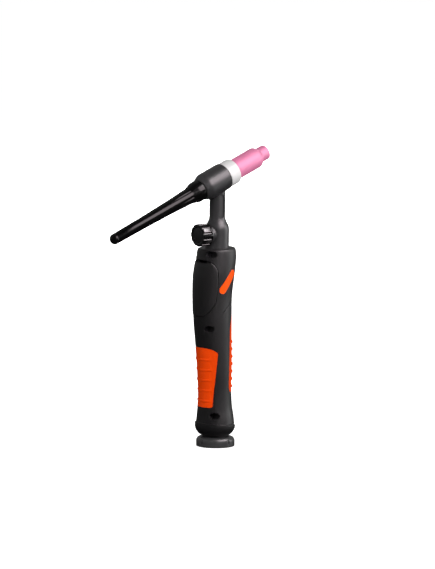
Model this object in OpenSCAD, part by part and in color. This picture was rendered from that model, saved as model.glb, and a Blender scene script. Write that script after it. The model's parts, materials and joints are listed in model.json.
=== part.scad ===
// Air-cooled TIG welding torch with a gas valve, a two-shell grip and a ball-jointed cable sleeve.
// Millimetres, +Z up the grip and neck, +X to the cup side, origin at the cable sleeve's mouth.

/* [Head] */
// Height of the head's centre line above the valve knob's axis
neck_rise = 52.2; // [48:0.2:70]
// Rise of the cup above the level, in degrees
head_rise = 21; // [12:1:30]
// Diameter of the head cover's barrel
barrel_d = 26.4; // [25.6:0.2:30]
// Barrel's straight part, ahead of the neck's axis
barrel_front = 7.9; // [7:0.1:12]
// Barrel's straight part, behind the neck's axis
barrel_back = 15; // [12:0.5:20]
// Length of the barrel's rounded tail
barrel_tail = 7.8; // [5:0.1:12]
// Diameter of the tail's end face
tail_d = 21.2; // [19:0.2:24]
// Diameter of the brass head core
core_d = 17.4; // [16.8:0.1:18.6]

/* [Cup] */
// Diameter of the white gasket ring
gasket_d = 25.2; // [24:0.2:28]
// Thickness of the gasket ring along the cup's axis
gasket_l = 12.7; // [11:0.1:16]
// Diameter of the cup's body
cup_d = 20.3; // [19.4:0.1:21.4]
// Whole length of the cup
cup_l = 47.2; // [44:0.2:60]
// Length of the cup held inside the gasket
cup_seat = 4.6; // [3:0.1:6]
// Diameter of the cup's narrow tip
cup_tip_d = 14.4; // [12.8:0.1:17]
// Length of the narrow tip
cup_tip_l = 9; // [6:0.5:12]
// Bore of the cup's mouth
cup_bore_d = 9.5; // [8:0.1:11]
// Diameter of the tungsten electrode
electrode_d = 2.4; // [2:0.1:3.2]
// Length of the electrode
electrode_l = 172; // [150:1:178]

/* [Back cap] */
// Diameter of the cap's hub
hub_d = 20.4; // [18:0.2:23]
// Length of the hub's straight part
hub_l = 6; // [4:0.5:9]
// Whole length of the cap behind the head
cap_l = 115.5; // [105:0.5:130]
// Diameter where the cap's long taper starts
cap_root_d = 15.6; // [14:0.2:17]
// Diameter at the cap's domed end
cap_tip_d = 10.3; // [9:0.1:12]
// Number of flutes round the cap
flutes = 8; // [6:1:10]

/* [Neck and valve] */
// Diameter of the covered neck
neck_d = 15.4; // [14.6:0.1:17]
// Diameter of the covered valve body
valve_d = 23; // [22:0.2:25]
// Height of the valve knob's axis above the grip's top
valve_rise = 13.6; // [12:0.1:16]
// Diameter of the boss behind the knob
boss_d = 17.2; // [15:0.2:18]
// Diameter of the knob
knob_d = 21.8; // [19:0.2:23]
// Length of the knob
knob_l = 11.4; // [10:0.1:13]
// Number of lobes round the knob
lobes = 12; // [8:1:16]
// Travel of the valve spindle from shut to open
spindle_travel = 1.2; // [0.8:0.1:1.6]

/* [Grip] */
// Height of the slanted seam above the swivel ball's centre
seam_rise = 7; // [6:0.1:9]
// Length of the grip from the seam to its flat top
grip_l = 170.2; // [160:0.5:185]
// Rise of the seam towards the cap side, per millimetre
seam_slope = 0.1; // [0:0.01:0.12]
// Rise of the grip's top towards the cap side, per millimetre
top_slope = 0.07; // [0:0.01:0.1]
// Wall thickness of the grip's shells
wall = 2.8; // [2.4:0.1:3.2]
// Rounding of the grip's top edge
top_round = 3.2; // [2:0.1:4]
// Depth of the grip, cap side to cup side, at its top
top_depth = 40.4; // [38:0.2:43]
// Depth of the grip at its waist
waist_depth = 32.6; // [32:0.2:36]
// Width of the grip at its top
top_width = 36.4; // [34:0.2:40]
// Width of the grip at its waist
waist_width = 31.4; // [30:0.2:34]
// Diameter of the counterbores over the screws
counterbore_d = 6.6; // [6.2:0.1:6.8]
// Diameter of the screws' threads
screw_d = 3; // [2.5:0.1:3]
// Depth of the pockets that hold the soft pads
pad_depth = 1.4; // [1:0.1:1.6]
// Height of the pads' ribs
rib_h = 0.7; // [0.4:0.1:1]

/* [Swivel] */
// Diameter of the rear collar
collar_d = 39; // [38:0.2:40]
// Diameter of the swivel ball
ball_d = 28; // [27:0.2:28.6]
// Height of the ball's centre
ball_z = 15; // [14.6:0.1:15.4]
// Bore for the cable through the ball
cable_d = 17; // [14:0.5:18]
// Diameter of the cable sleeve
sleeve_d = 37.2; // [35:0.2:39]
// Diameter of the socket in the sleeve's mouth
socket_d = 32.4; // [31:0.2:33]
// Depth of that socket
socket_l = 5.6; // [4:0.1:6]

/* [Hidden] */
$fn = 64;

// Clearances: fixed neighbours, turning fits, and open running gaps
fit = 0.05;
run = 0.06;
gap = 0.3;
eps = 0.01;

// Heights, from the swivel up
seam_z = ball_z + seam_rise;
grip_top = seam_z + grip_l;
valve_z = grip_top + valve_rise;
head_z = valve_z + neck_rise;

// Head stack, measured along the head's axis from the neck's axis: + to the cup, - to the cap
tail_w = barrel_back + barrel_tail;
core_back = tail_w - 2.6;
core_bore_d = 6.4;
body_thread_d = 10;
body_thread_l = 8;
body_nose_r = 4.3;
nozzle_thread_d = 12.8;
nozzle_thread_w = barrel_front + 2.6;
nozzle_thread_l = 10.4;
cup_back_w = barrel_front + gasket_l - cup_seat;
cup_front_w = cup_back_w + cup_l;
cup_throat_w = cup_front_w - cup_tip_l;
collet_d = 4;
collet_front_w = 33;
cap_thread_d = 11.8;
cap_thread_l = 9;
cap_gap = 0.3;
cap_bore_d = 3.8;
o_ring_d = 1.6;
o_ring_r = cap_thread_d / 2 + run + o_ring_d / 2;
o_ring_room_d = 2 * (o_ring_r + o_ring_d / 2 + gap);
tip_back = 1.5;

// Neck and valve
tube_d = 8.4;
tube_bore_d = 5.6;
block_d = 16.8;
block_h = 24;
block_bottom = valve_z - 16;
block_top = block_bottom + block_h;
tube_bottom = block_top - 5;
gas_d = 4;
stem_d = 9;
stem_top = block_bottom + 8;
stem_bore_d = 5;
stud_d = 12;
stud_l = 12;
stud_bottom = block_bottom - 51.8;
stem_flange_l = 4;
stem_flange_r = 9;
cover_bottom = grip_top - 11;
port_d = 7.2;
spindle_d = 3.5;
spindle_tip_q = 2.6;
spindle_end_q = 19.4;
knob_back_q = 12.6;
knob_front_q = knob_back_q + knob_l;
knob_recess_r = knob_d / 2 - 3.4;
knob_rim = 1.1;
boss_q = knob_back_q - gap;
gland_q = block_d / 2 + 0.1;
gland_d = 11;
gland_l = 2.8;
neck_slot_w = 6.2;
neck_slot_l = 23;
neck_slot_depth = 1;
flare_l = 10.5;
flare_z = valve_z + 4.2;
neck_slot_z = flare_z + flare_l + 0.6 + neck_slot_l / 2;

// Swivel
ball_r = ball_d / 2;
seat_t = 1.35;
seat_r = ball_r + fit + seat_t;
collar_bore_r = seat_r + run;
lip_z = ball_z - 3.4;
lip_r = sqrt(pow(ball_r + run, 2) - pow(ball_z - lip_z, 2));
seat_bottom = ball_z - 1.2;
seat_top = ball_z + 4.6;
ball_top = ball_z + 4.4;
clip_h = 1;
spigot_r = collar_bore_r + 1.25;
spigot_top = seam_z + 4.4;
bulb_r = 11.2;
collar_lean = 0.6;
collar_ledge = 0.9;
ball_neck_z = lip_z - 2.3;
ball_spigot_r = 11;
sleeve_round = 3;
sleeve_slots = 4;
sleeve_slot_w = 1.2;
sleeve_slot_l = 4.4;
sleeve_slot_a = 6;

// Grip form: each row is [height, lean to the cup side, half depth, half width]
FORM = [
    [seam_z,                  -collar_lean, collar_d / 2 - collar_ledge, collar_d / 2 - collar_ledge],
    [seam_z + 0.040 * grip_l, -collar_lean, waist_depth / 2 + 1.7, waist_width / 2 + 2.1],
    [seam_z + 0.085 * grip_l, -1.1,  waist_depth / 2 + 0.9,    waist_width / 2 + 0.8],
    [seam_z + 0.176 * grip_l, -1.4,  waist_depth / 2,          waist_width / 2],
    [seam_z + 0.310 * grip_l, -1.9,  waist_depth / 2 + 1.1,    waist_width / 2 + 0.1],
    [seam_z + 0.446 * grip_l, -3.1,  waist_depth / 2 + 2.1,    waist_width / 2 + 0.3],
    [seam_z + 0.584 * grip_l, -4.6,  waist_depth / 2 + 3.3,    waist_width / 2 + 0.9],
    [seam_z + 0.720 * grip_l, -5.1,  top_depth / 2 + 0.1,      top_width / 2 - 1.2],
    [seam_z + 0.856 * grip_l, -3.3,  top_depth / 2 + 1.0,      top_width / 2 + 0.3],
    [seam_z + 0.947 * grip_l, -0.9,  top_depth / 2,            top_width / 2],
    [grip_top,                -0.4,  top_depth / 2 - 1.2,      top_width / 2 - 0.7]
];
opening_r = valve_d / 2 + fit;
tilt_h = 24;
arc_steps = 15;

// Screws: [height, distance in from the grip's cap side]
boss_wall = 0.95;
screw_boss_r = counterbore_d / 2 + boss_wall;
SCREWS = [[spigot_top + screw_boss_r + gap, 6.6], [seam_z + 0.551 * grip_l, 5.6],
    [grip_top - screw_boss_r - gap, 4.4]];
head_seat_y = 5.4;
screw_l = 15;

// Trigger blank: its outline, the lip behind it and the slot above it
far = 2 * top_depth;
blank_lip = 1.2;
blank_bottom = seam_z + 0.616 * grip_l;
blank_top = grip_top - 2 * screw_boss_r - 2 * gap - blank_lip;
blank_h = blank_top - blank_bottom;
blank_in = 13.2;
blank_round = 7;
blank_gap = 0.15;
slot_h = 3;
slot_in = 3.4;
lip_t = 1.1;
lip_gap = 0.35;

// Soft pads: heights along the grip, distance in from its edges, ribs
palm_bottom = seam_z + 0.106 * grip_l;
palm_top = seam_z + 0.4425 * grip_l;
palm_h = palm_top - palm_bottom;
palm_in = 9.6;
palm_ribs = 5;
palm_pitch = palm_h / 5.7;
palm_first = 0.66;
finger_bottom = seam_z + 0.182 * grip_l;
finger_top = seam_z + 0.649 * grip_l;
finger_h = finger_top - finger_bottom;
finger_in = 10.6;
finger_ribs = 7;
finger_pitch = finger_h / 11.06;
pad_gap = 0.1;
pad_proud = 0.05;
rib_w = 1.4;
rib_blend = 0.6;
rib_fade = 8;

// Finger scoop on each side, ahead of a crease: heights and depth
scoop_bottom = seam_z + 0.43 * grip_l;
scoop_top = seam_z + 0.73 * grip_l;
scoop_h = scoop_top - scoop_bottom;
scoop_depth = 0.5;

// Bare badge on the -Y side
badge_w = 8;
badge_l = 20.5;
badge_z = seam_z + 0.816 * grip_l;
badge_x = -0.6;
badge_turn = 53.8;
badge_t = 0.9;
badge_a0 = 220;
badge_a1 = 340;

// ---------- curves and lofts ----------

function flatten(rows) = [for (row = rows) for (item = row) item];

// Row of FORM whose stretch holds height z
function stretch(z, i = 0) = (i >= len(FORM) - 2 || z < FORM[i + 1][0]) ? i : stretch(z, i + 1);

// Slope of column k at row i
function slope(i, k) = let (a = max(i - 1, 0), b = min(i + 1, len(FORM) - 1))
    (FORM[b][k] - FORM[a][k]) / (FORM[b][0] - FORM[a][0]);

// Smooth value of column k at height z
function form(z, k) = let (i = stretch(z), h = FORM[i + 1][0] - FORM[i][0], u = (z - FORM[i][0]) / h)
    FORM[i][k] * (1 + 2 * u) * pow(1 - u, 2) + FORM[i + 1][k] * u * u * (3 - 2 * u)
    + h * slope(i, k) * u * pow(1 - u, 2) - h * slope(i + 1, k) * u * u * (1 - u);

// How far the rounded top edge draws in at height z
function edge_in(z) = let (d = z - (grip_top - top_round))
    d <= 0 ? 0 : top_round - sqrt(max(top_round * top_round - d * d, 0));

// Slant of a ring at height z: full at the seam and at the top, none between
function slant(z) = seam_slope * max(0, 1 - (z - seam_z) / tilt_h)
    + top_slope * max(0, 1 - (grip_top - z) / tilt_h);

// Point of the grip's skin, moved out by off, at height z and angle a
function skin_point(z, a, off) = let (inset = edge_in(z) - off,
    x = form(z, 1) + (form(z, 2) - inset) * cos(a))
    [x, (form(z, 3) - inset) * sin(a), z - slant(z) * x];

// Share of the plain cavity at height z; the rest is the round seat for the collar or the cover
function cavity_share(z) = let (low = (z - spigot_top - 2 * gap) / 7, high = (grip_top - wall - z) / 5)
    max(0, min(1, min(low, high)));
function seat_radius(z) = (z < (seam_z + grip_top) / 2 ? spigot_r + fit : opening_r) / cos(90 / arc_steps);

// Point of the grip's inner wall
function inner_point(z, a) = let (s = cavity_share(z), r = seat_radius(z),
    x = s * (form(z, 1) + (form(z, 2) - wall) * cos(a)) + (1 - s) * r * cos(a))
    [x, (s * (form(z, 3) - wall) + (1 - s) * r) * sin(a), z - slant(z) * x];

function steps(from, to, n) = [for (i = [0:n]) from + (to - from) * i / n];

// Closed solid through a list of rings that have equal numbers of points
module loft(rings) {
    n = len(rings[0]);
    m = len(rings);
    top = (m - 1) * n;
    sides = [for (i = [0:m - 2]) for (j = [0:n - 1]) let (a = i * n + j, b = i * n + (j + 1) % n)
        each [[a, a + n, b + n], [a, b + n, b]]];
    ends = [for (j = [0:n / 2 - 2]) let (k = n - 1 - j) each [[j, j + 1, k - 1], [j, k - 1, k],
        [top + k - 1, top + j + 1, top + j], [top + k, top + k - 1, top + j]]];
    polyhedron(points = flatten(rings), faces = concat(ends, sides));
}

// Curved band of the grip's skin between two heights and two angles, from offset low to offset high
module band(z0, z1, a0, a1, low, high, n_a = 16, n_z = 12) {
    angles = steps(a0, a1, n_a);
    back = steps(a1, a0, n_a);
    loft([for (z = steps(z0, z1, n_z))
        concat([for (a = angles) skin_point(z, a, high)], [for (a = back) skin_point(z, a, low)])]);
}

// Full slice of the grip between two heights
module slice(z0, z1, off) {
    loft([for (z = steps(z0, z1, 2)) [for (a = [0:15:345]) skin_point(z, a, off)]]);
}

// Side-view outline in X and Z, swept across the grip's whole width
module across(width = 60) {
    rotate([90, 0, 0]) linear_extrude(width, center = true) children();
}

module round_corners(r) {
    offset(r) offset(delta = -r) children();
}

module tube(r_out, r_in, z0, z1) {
    translate([0, 0, z0]) difference() {
        cylinder(h = z1 - z0, r = r_out);
        translate([0, 0, -1]) cylinder(h = z1 - z0 + 2, r = r_in);
    }
}

module rod(r, z0, z1) {
    translate([0, 0, z0]) cylinder(h = z1 - z0, r = r);
}

module ring(r_mid, r_wire, z) {
    translate([0, 0, z]) rotate_extrude() translate([r_mid, 0]) circle(r_wire, $fn = 32);
}

// Frames of the head's axis, towards the cup and towards the cap, and of the valve's axis
module to_cup() {
    translate([0, 0, head_z]) rotate([0, 90 - head_rise, 0]) children();
}
module to_cap() {
    to_cup() rotate([180, 0, 0]) children();
}
module to_knob() {
    translate([0, 0, valve_z]) rotate([0, -90, 0]) children();
}

// ---------- head ----------

module head_core() color("goldenrod") difference() {
    to_cup() rod(core_d / 2, -core_back, barrel_front - 0.6);
    to_cup() rod(core_bore_d / 2, -core_back - 1, barrel_front + 1);
    to_cup() rod(body_thread_d / 2 + fit, barrel_front - body_thread_l, barrel_front + 1);
    to_cap() rod(cap_thread_d / 2 + run, tail_w - cap_thread_l - cap_gap, core_back + 1);
    rod(tube_d / 2 + fit, head_z - core_d, head_z - core_d / 2 + 3.4);
    rod(tube_bore_d / 2, head_z - core_d, head_z);
}

module neck_tube() color("peru")
    tube(tube_d / 2, tube_bore_d / 2, tube_bottom, head_z - core_d / 2 + 3.2);

module valve_block() color("goldenrod") difference() {
    rod(block_d / 2, block_bottom, block_top);
    rod(tube_d / 2 + fit, tube_bottom - fit, block_top + 1);
    rod(gas_d / 2, block_bottom - 1, block_top);
    rod(stem_d / 2 + fit, block_bottom - 1, stem_top + fit);
    to_knob() rod(port_d / 2, spindle_tip_q + 1.4, block_d);
    to_knob() rod(spindle_d / 2 + run, 0, block_d);
}

module power_stem() color("goldenrod") difference() {
    union() {
        rod(stem_d / 2, stud_bottom + stud_l, stem_top);
        rod(stud_d / 2, stud_bottom, stud_bottom + stud_l);
        translate([0, 0, stud_bottom + stud_l]) cylinder(h = stem_flange_l, r = stem_flange_r, $fn = 6);
    }
    rod(stem_bore_d / 2, stud_bottom - 1, stem_top + 1);
}

module cover_barrel() {
    to_cup() rotate_extrude() polygon(concat(
        [[0, -tail_w], [tail_d / 2 - 0.8, -tail_w], [tail_d / 2, -tail_w + 0.8]],
        [for (u = [0.2:0.2:1]) [
            tail_d / 2 + (barrel_d - tail_d) / 2 * sin(90 * u),
            -tail_w + 0.8 + (barrel_tail - 0.8) * (1 - cos(90 * u)) * 0.5
                + (barrel_tail - 0.8) * u * 0.5]],
        [[barrel_d / 2, barrel_front - 1], [barrel_d / 2 - 1, barrel_front], [0, barrel_front]]));
}

module cover_neck() {
    rotate_extrude() polygon(concat(
        [[0, cover_bottom], [valve_d / 2, cover_bottom], [valve_d / 2, flare_z]],
        [for (u = [0.1:0.1:1]) [
            neck_d / 2 + (valve_d - neck_d) / 2 * (1 + cos(180 * u)) / 2,
            flare_z + flare_l * u]],
        [[neck_d / 2, head_z], [0, head_z]]));
}

module neck_slot(side) {
    translate([0, side * (neck_d / 2 - neck_slot_depth), neck_slot_z])
        rotate([-90 * side, 0, 0]) linear_extrude(3) union() {
            square([neck_slot_w, neck_slot_l - neck_slot_w], center = true);
            for (s = [-1, 1]) translate([0, s * (neck_slot_l - neck_slot_w) / 2])
                circle(neck_slot_w / 2);
        }
}

module head_cover() color([0.16, 0.16, 0.17]) difference() {
    union() {
        cover_barrel();
        cover_neck();
        to_knob() rod(boss_d / 2, 0, boss_q);
    }
    to_cup() rod(core_d / 2 + fit, -core_back - fit, barrel_front + 1);
    to_cap() rod(o_ring_room_d / 2, core_back - 1, tail_w + 1);
    rod(tube_d / 2 + fit, block_top - 1, head_z);
    rod(block_d / 2 + fit, block_bottom - fit, block_top + fit);
    rod(stem_d / 2 + fit, cover_bottom - 1, block_bottom + 1);
    to_knob() rod(gland_d / 2 + 0.6, 0, boss_q + 1);
    for (side = [-1, 1]) neck_slot(side);
}

// ---------- cup ----------

module collet_body() color("peru") difference() {
    to_cup() union() {
        rod(body_thread_d / 2, barrel_front - body_thread_l + 0.2, barrel_front);
        rod(nozzle_thread_d / 2 - 0.6, barrel_front - 0.3, nozzle_thread_w);
        rod(nozzle_thread_d / 2, nozzle_thread_w, nozzle_thread_w + nozzle_thread_l);
        rod(body_nose_r, nozzle_thread_w + nozzle_thread_l, collet_front_w + 6);
        translate([0, 0, collet_front_w + 6]) cylinder(h = 2, r1 = body_nose_r, r2 = body_nose_r - 1.1);
    }
    to_cup() rod(collet_d / 2 + fit, -1, collet_front_w + 0.2);
    to_cup() rod(electrode_d / 2 + 0.3, -1, collet_front_w + 10);
    to_cup() for (a = [45:90:315]) rotate([0, 0, a])
        translate([0, 0, collet_front_w - 6]) rotate([0, 90, 0]) cylinder(h = 8, r = 0.9);
}

module collet() color("peru") difference() {
    to_cup() rod(collet_d / 2, -(tail_w - cap_thread_l - 2 * cap_gap), collet_front_w);
    to_cup() rod(electrode_d / 2 + run, -tail_w, collet_front_w + 1);
    to_cup() translate([-0.25, -collet_d, collet_front_w - 14]) cube([0.5, 2 * collet_d, 15]);
}

module electrode() color("dimgray") to_cup() union() {
    tip_w = cup_front_w - tip_back;
    point_l = 2 * electrode_d;
    rod(electrode_d / 2, tip_w - electrode_l, tip_w - point_l);
    translate([0, 0, tip_w - point_l]) cylinder(h = point_l, r1 = electrode_d / 2, r2 = 0.15);
}

module cup_gasket() color("white") difference() {
    r = gasket_d / 2;
    front = barrel_front + gasket_l;
    to_cup() rotate_extrude() polygon(concat(
        [[0, barrel_front + 0.1], [r, barrel_front + 0.1]],
        [for (a = [0:15:90]) [r - 2 + 2 * cos(a), front - 2.6 + 2.6 * sin(a)]],
        [[0, front]]));
    to_cup() rod(nozzle_thread_d / 2 + run, barrel_front, front + 1);
    to_cup() rod(cup_d / 2 + run, cup_back_w - 0.1, front + 1);
}

module nozzle() color([0.93, 0.5, 0.7]) difference() {
    r = cup_d / 2;
    tip = cup_tip_d / 2;
    to_cup() rotate_extrude() polygon(concat(
        [[0, cup_back_w], [r, cup_back_w], [r, cup_throat_w - 7]],
        [for (u = [0.2:0.2:1]) [r - (r - tip) * (1 - cos(90 * u)), cup_throat_w - 7 + 5.6 * sin(90 * u)]],
        [[tip, cup_throat_w - 0.4]],
        [for (a = [0:22.5:90]) [tip - 1.4 + 1.4 * cos(a), cup_front_w - 1.4 + 1.4 * sin(a)]],
        [[0, cup_front_w]]));
    to_cup() rod(nozzle_thread_d / 2 + run, cup_back_w - 1, cup_throat_w - 10);
    to_cup() translate([0, 0, cup_throat_w - 10 - eps])
        cylinder(h = 8, r1 = nozzle_thread_d / 2 + run, r2 = cup_bore_d / 2);
    to_cup() rod(cup_bore_d / 2, cup_throat_w - 3, cup_front_w + 1);
}

// ---------- back cap ----------

cap_front = tail_w + cap_gap;
cap_end = cap_front + cap_l;

// Outer radius of the cap's long taper at distance v behind the neck's axis
function cap_r(v) = let (v0 = cap_front + hub_l + 9, u = (v - v0) / (cap_end - v0))
    cap_tip_d / 2 + (cap_root_d - cap_tip_d) / 2 * (0.55 * (1 - u) + 0.45 * pow(1 - min(u, 1), 3));

module cap_profile() {
    hub = hub_d / 2;
    v0 = cap_front + hub_l;
    dome = cap_tip_d / 2;
    polygon(concat(
        [[0, tail_w - cap_thread_l], [cap_thread_d / 2, tail_w - cap_thread_l]],
        [[cap_thread_d / 2, cap_front], [hub - 0.8, cap_front], [hub, cap_front + 0.8], [hub, v0]],
        [for (u = [0.125:0.125:1]) [cap_r(v0 + 9) + (hub - cap_r(v0 + 9)) * (1 + cos(180 * u)) / 2,
            v0 + 9 * u]],
        [for (u = [0.1:0.1:0.9]) let (v = v0 + 9 + (cap_end - dome - v0 - 9) * u) [cap_r(v), v]],
        [for (a = [0:15:90]) [dome * cos(a), cap_end - dome + dome * sin(a)]]));
}

module cap_flute() {
    v0 = cap_front + hub_l + 8;
    run_l = cap_l * 0.55;
    r0 = cap_r(v0);
    tilt = atan((r0 - cap_r(v0 + run_l)) / run_l) - 0.55;
    translate([r0 + 1.0, 0, v0]) rotate([0, -tilt, 0]) {
        sphere(1.8, $fn = 24);
        cylinder(h = run_l, r = 1.8, $fn = 24);
        translate([0, 0, run_l]) sphere(1.8, $fn = 24);
    }
}

module back_cap() color([0.05, 0.05, 0.055]) to_cap() difference() {
    rotate_extrude() cap_profile();
    rod(cap_bore_d / 2, 0, cap_end - 8);
    for (i = [0:flutes - 1]) rotate([0, 0, i * 360 / flutes]) cap_flute();
    translate([0, 0, cap_end - cap_tip_d / 2 - 1]) difference() {
        cylinder(h = 0.5, r = cap_tip_d);
        translate([0, 0, -1]) cylinder(h = 3, r = cap_tip_d / 2 - 0.2);
    }
}

module back_cap_o_ring() color([0.08, 0.08, 0.08]) to_cap()
    ring(o_ring_r, o_ring_d / 2, core_back + 0.35 + o_ring_d / 2);

// ---------- valve ----------

module valve_spindle() color("silver") to_knob() difference() {
    union() {
        rod(spindle_d / 2, spindle_tip_q + 1.6, spindle_end_q);
        translate([0, 0, spindle_tip_q]) cylinder(h = 1.6 + eps, r1 = 0.7, r2 = spindle_d / 2);
    }
    rod(1 + fit, spindle_end_q - 5, spindle_end_q + 1);
}

module spindle_o_ring() color([0.08, 0.08, 0.08]) to_knob()
    ring(spindle_d / 2 + run + 0.7, 0.7, spindle_tip_q + 2.3);

module gland_nut() color("goldenrod") to_knob() difference() {
    union() {
        rod(port_d / 2 - fit, spindle_tip_q + 3.3 + spindle_travel, gland_q + eps);
        translate([0, 0, gland_q]) cylinder(h = gland_l, r = gland_d / 2, $fn = 6);
    }
    rod(spindle_d / 2 + run, 0, gland_q + 5);
}

module valve_knob() color([0.05, 0.05, 0.055]) to_knob() difference() {
    r = knob_d / 2;
    rotate_extrude() polygon([[0, knob_back_q], [r - 1, knob_back_q], [r, knob_back_q + 1],
        [r, knob_front_q - 1.2], [r - 0.35, knob_front_q - 0.4], [r - 1.2, knob_front_q],
        [0, knob_front_q]]);
    for (i = [0:lobes - 1]) rotate([0, 0, (i + 0.5) * 360 / lobes])
        translate([r + 0.5, 0, knob_back_q + knob_rim]) cylinder(h = knob_l, r = 1.3, $fn = 24);
    rod(knob_recess_r, knob_front_q - 1.6, knob_front_q + 1);
    rod(gland_d / 2 + 1, knob_back_q - 1, knob_back_q + 2);
    rod(spindle_d / 2 + fit, 0, spindle_end_q + 0.1);
    rod(1.2, 0, knob_front_q);
}

module knob_screw() color("silver") to_knob() union() {
    rod(1, spindle_end_q - 4.5, spindle_end_q + 0.4);
    rod(2.4, knob_front_q - 1.6, knob_front_q - 1);
    rod(1, spindle_end_q, knob_front_q - 1.3);
}

module knob_cap() color([0.07, 0.07, 0.075]) to_knob()
    rotate_extrude() polygon([[0, knob_front_q - 0.95], [knob_recess_r - 0.2, knob_front_q - 0.95],
        [knob_recess_r - 0.2, knob_front_q - 0.5], [knob_recess_r - 0.8, knob_front_q - 0.35],
        [0, knob_front_q - 0.35]]);

// ---------- grip ----------

function screw_x(s) = form(s[0], 1) - form(s[0], 2) + s[1];

module blank_outline(grow) {
    edge = form(blank_top - blank_h / 3, 1) - form(blank_top - blank_h / 3, 2);
    inner = edge + blank_in;
    offset(grow) round_corners(blank_round) polygon([[-far, blank_bottom],
        [edge + 0.2 * blank_in, blank_bottom], [inner - 0.15 * blank_in, blank_bottom + 0.22 * blank_h],
        [inner, blank_bottom + 0.5 * blank_h], [inner, blank_top], [-far, blank_top]]);
}

module blank_slot(grow) {
    edge = form(blank_top, 1) - form(blank_top, 2);
    offset(delta = grow) translate([-far, blank_top - slot_h]) square([far + edge + slot_in, 2 * slot_h]);
}

module palm_outline(grow) {
    top_x = form(palm_top, 1) - form(palm_top, 2) + 1.3 * palm_in;
    low_x = form(palm_bottom, 1) - form(palm_bottom, 2) + 0.56 * palm_in;
    offset(grow) round_corners(0.2 * palm_in) polygon([[-far, palm_bottom], [low_x, palm_bottom],
        [top_x, palm_top - 0.06 * palm_h], [top_x - 0.5 * palm_in, palm_top - 0.02 * palm_h],
        [top_x - palm_in, palm_top], [-far, palm_top]]);
}

module finger_outline(grow) {
    top_x = form(finger_top, 1) + form(finger_top, 2) - 0.88 * finger_in;
    low_x = form(finger_bottom, 1) + form(finger_bottom, 2) - finger_in;
    offset(grow) round_corners(0.28 * finger_in) polygon([[far, finger_bottom],
        [low_x + 0.17 * finger_in, finger_bottom], [low_x, finger_bottom + 0.075 * finger_h],
        [top_x, finger_top - 0.2 * finger_h], [top_x + 0.6 * finger_in, finger_top], [far, finger_top]]);
}

// Crease that the finger scoop starts from, bowed to the cap side
module scoop_outline() {
    x0 = form(scoop_bottom, 1);
    polygon(concat([[far, scoop_bottom]],
        [for (u = [0:0.125:1]) [x0 + 2.5 - 7 * sin(180 * u) + 2 * u, scoop_bottom + scoop_h * u]],
        [[far, scoop_top]]));
}

module badge_outline(grow) {
    translate([badge_x, badge_z]) rotate(badge_turn) union() {
        square([badge_l, badge_w + 2 * grow], center = true);
        for (s = [-1, 1]) translate([s * badge_l / 2, 0]) circle(badge_w / 2 + grow);
    }
}

// One half of the grip's wall, on the -Y side, as one swept section
module shell_wall() {
    n = arc_steps;
    zs = concat([seam_z], steps(spigot_top + 2 * gap, grip_top - top_round, 22),
        [for (a = [22.5:22.5:90]) grip_top - top_round + top_round * sin(a)]);
    loft([for (z = zs) concat([for (a = steps(180, 360, n)) skin_point(z, a, 0)],
        [for (a = steps(360, 180, n)) inner_point(z, a)])]);
}

module screw_boss(s) {
    intersection() {
        translate([screw_x(s), 0, s[0]]) rotate([90, 0, 0]) cylinder(h = top_width / 2, r = screw_boss_r);
        slice(s[0] - screw_boss_r - 1, min(s[0] + screw_boss_r + 1, grip_top - gap), -0.5);
    }
}

// Pocket in the grip's skin for a soft pad, inside a side-view outline
module pocket(z0, z1, middle, half) {
    intersection() {
        band(z0 - 2, z1 + 2, middle - half, middle + half, -pad_depth, 3, 13, 8);
        across() children();
    }
}

// Shallow scoop that fades out at both ends
module scoop() {
    angles = steps(270, 380, 9);
    back = steps(380, 270, 9);
    intersection() {
        loft([for (z = steps(scoop_bottom - 1, scoop_top + 1, 8)) let (
            low = -scoop_depth * sin(180 * max(0, min(1, (z - scoop_bottom) / scoop_h))))
            concat([for (a = angles) skin_point(z, a, 2)], [for (a = back) skin_point(z, a, low)])]);
        across() scoop_outline();
    }
}

module half_shell() {
    difference() {
        union() {
            shell_wall();
            for (s = SCREWS) screw_boss(s);
        }
        across() blank_outline(blank_gap);
        pocket(palm_bottom, palm_top, 180, 85) palm_outline(pad_gap);
        pocket(finger_bottom, finger_top, 0, 85) finger_outline(pad_gap);
        scoop();
    }
}

module shell_left() color([0.15, 0.15, 0.16]) difference() {
    half_shell();
    for (s = SCREWS) translate([screw_x(s), 0, s[0]]) rotate([90, 0, 0]) {
        translate([0, 0, head_seat_y]) cylinder(h = 30, r = counterbore_d / 2);
        translate([0, 0, -1]) cylinder(h = 20, r = screw_d / 2 + 0.1);
    }
    intersection() {
        band(badge_z - badge_l / 2 - 3, badge_z + badge_l / 2 + 3, badge_a0, badge_a1, -badge_t, 3, 8, 4);
        across() badge_outline(pad_gap);
    }
}

module shell_right() color([0.15, 0.15, 0.16]) difference() {
    mirror([0, 1, 0]) half_shell();
    for (s = SCREWS) translate([screw_x(s), 0, s[0]]) rotate([-90, 0, 0])
        translate([0, 0, -1]) cylinder(h = screw_l - head_seat_y + 1.5, r = screw_d / 2 + fit);
}

module shell_screws() color("silver") for (s = SCREWS)
    translate([screw_x(s), -head_seat_y, s[0]]) rotate([90, 0, 0]) difference() {
        union() {
            translate([0, 0, 0.05]) cylinder(h = 1.8, r = counterbore_d / 2 - 0.25);
            translate([0, 0, -screw_l]) cylinder(h = screw_l + 1, r = screw_d / 2);
        }
        for (a = [0, 90]) rotate([0, 0, a]) translate([-1.6, -0.35, 1]) cube([3.2, 0.7, 2]);
    }

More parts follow.
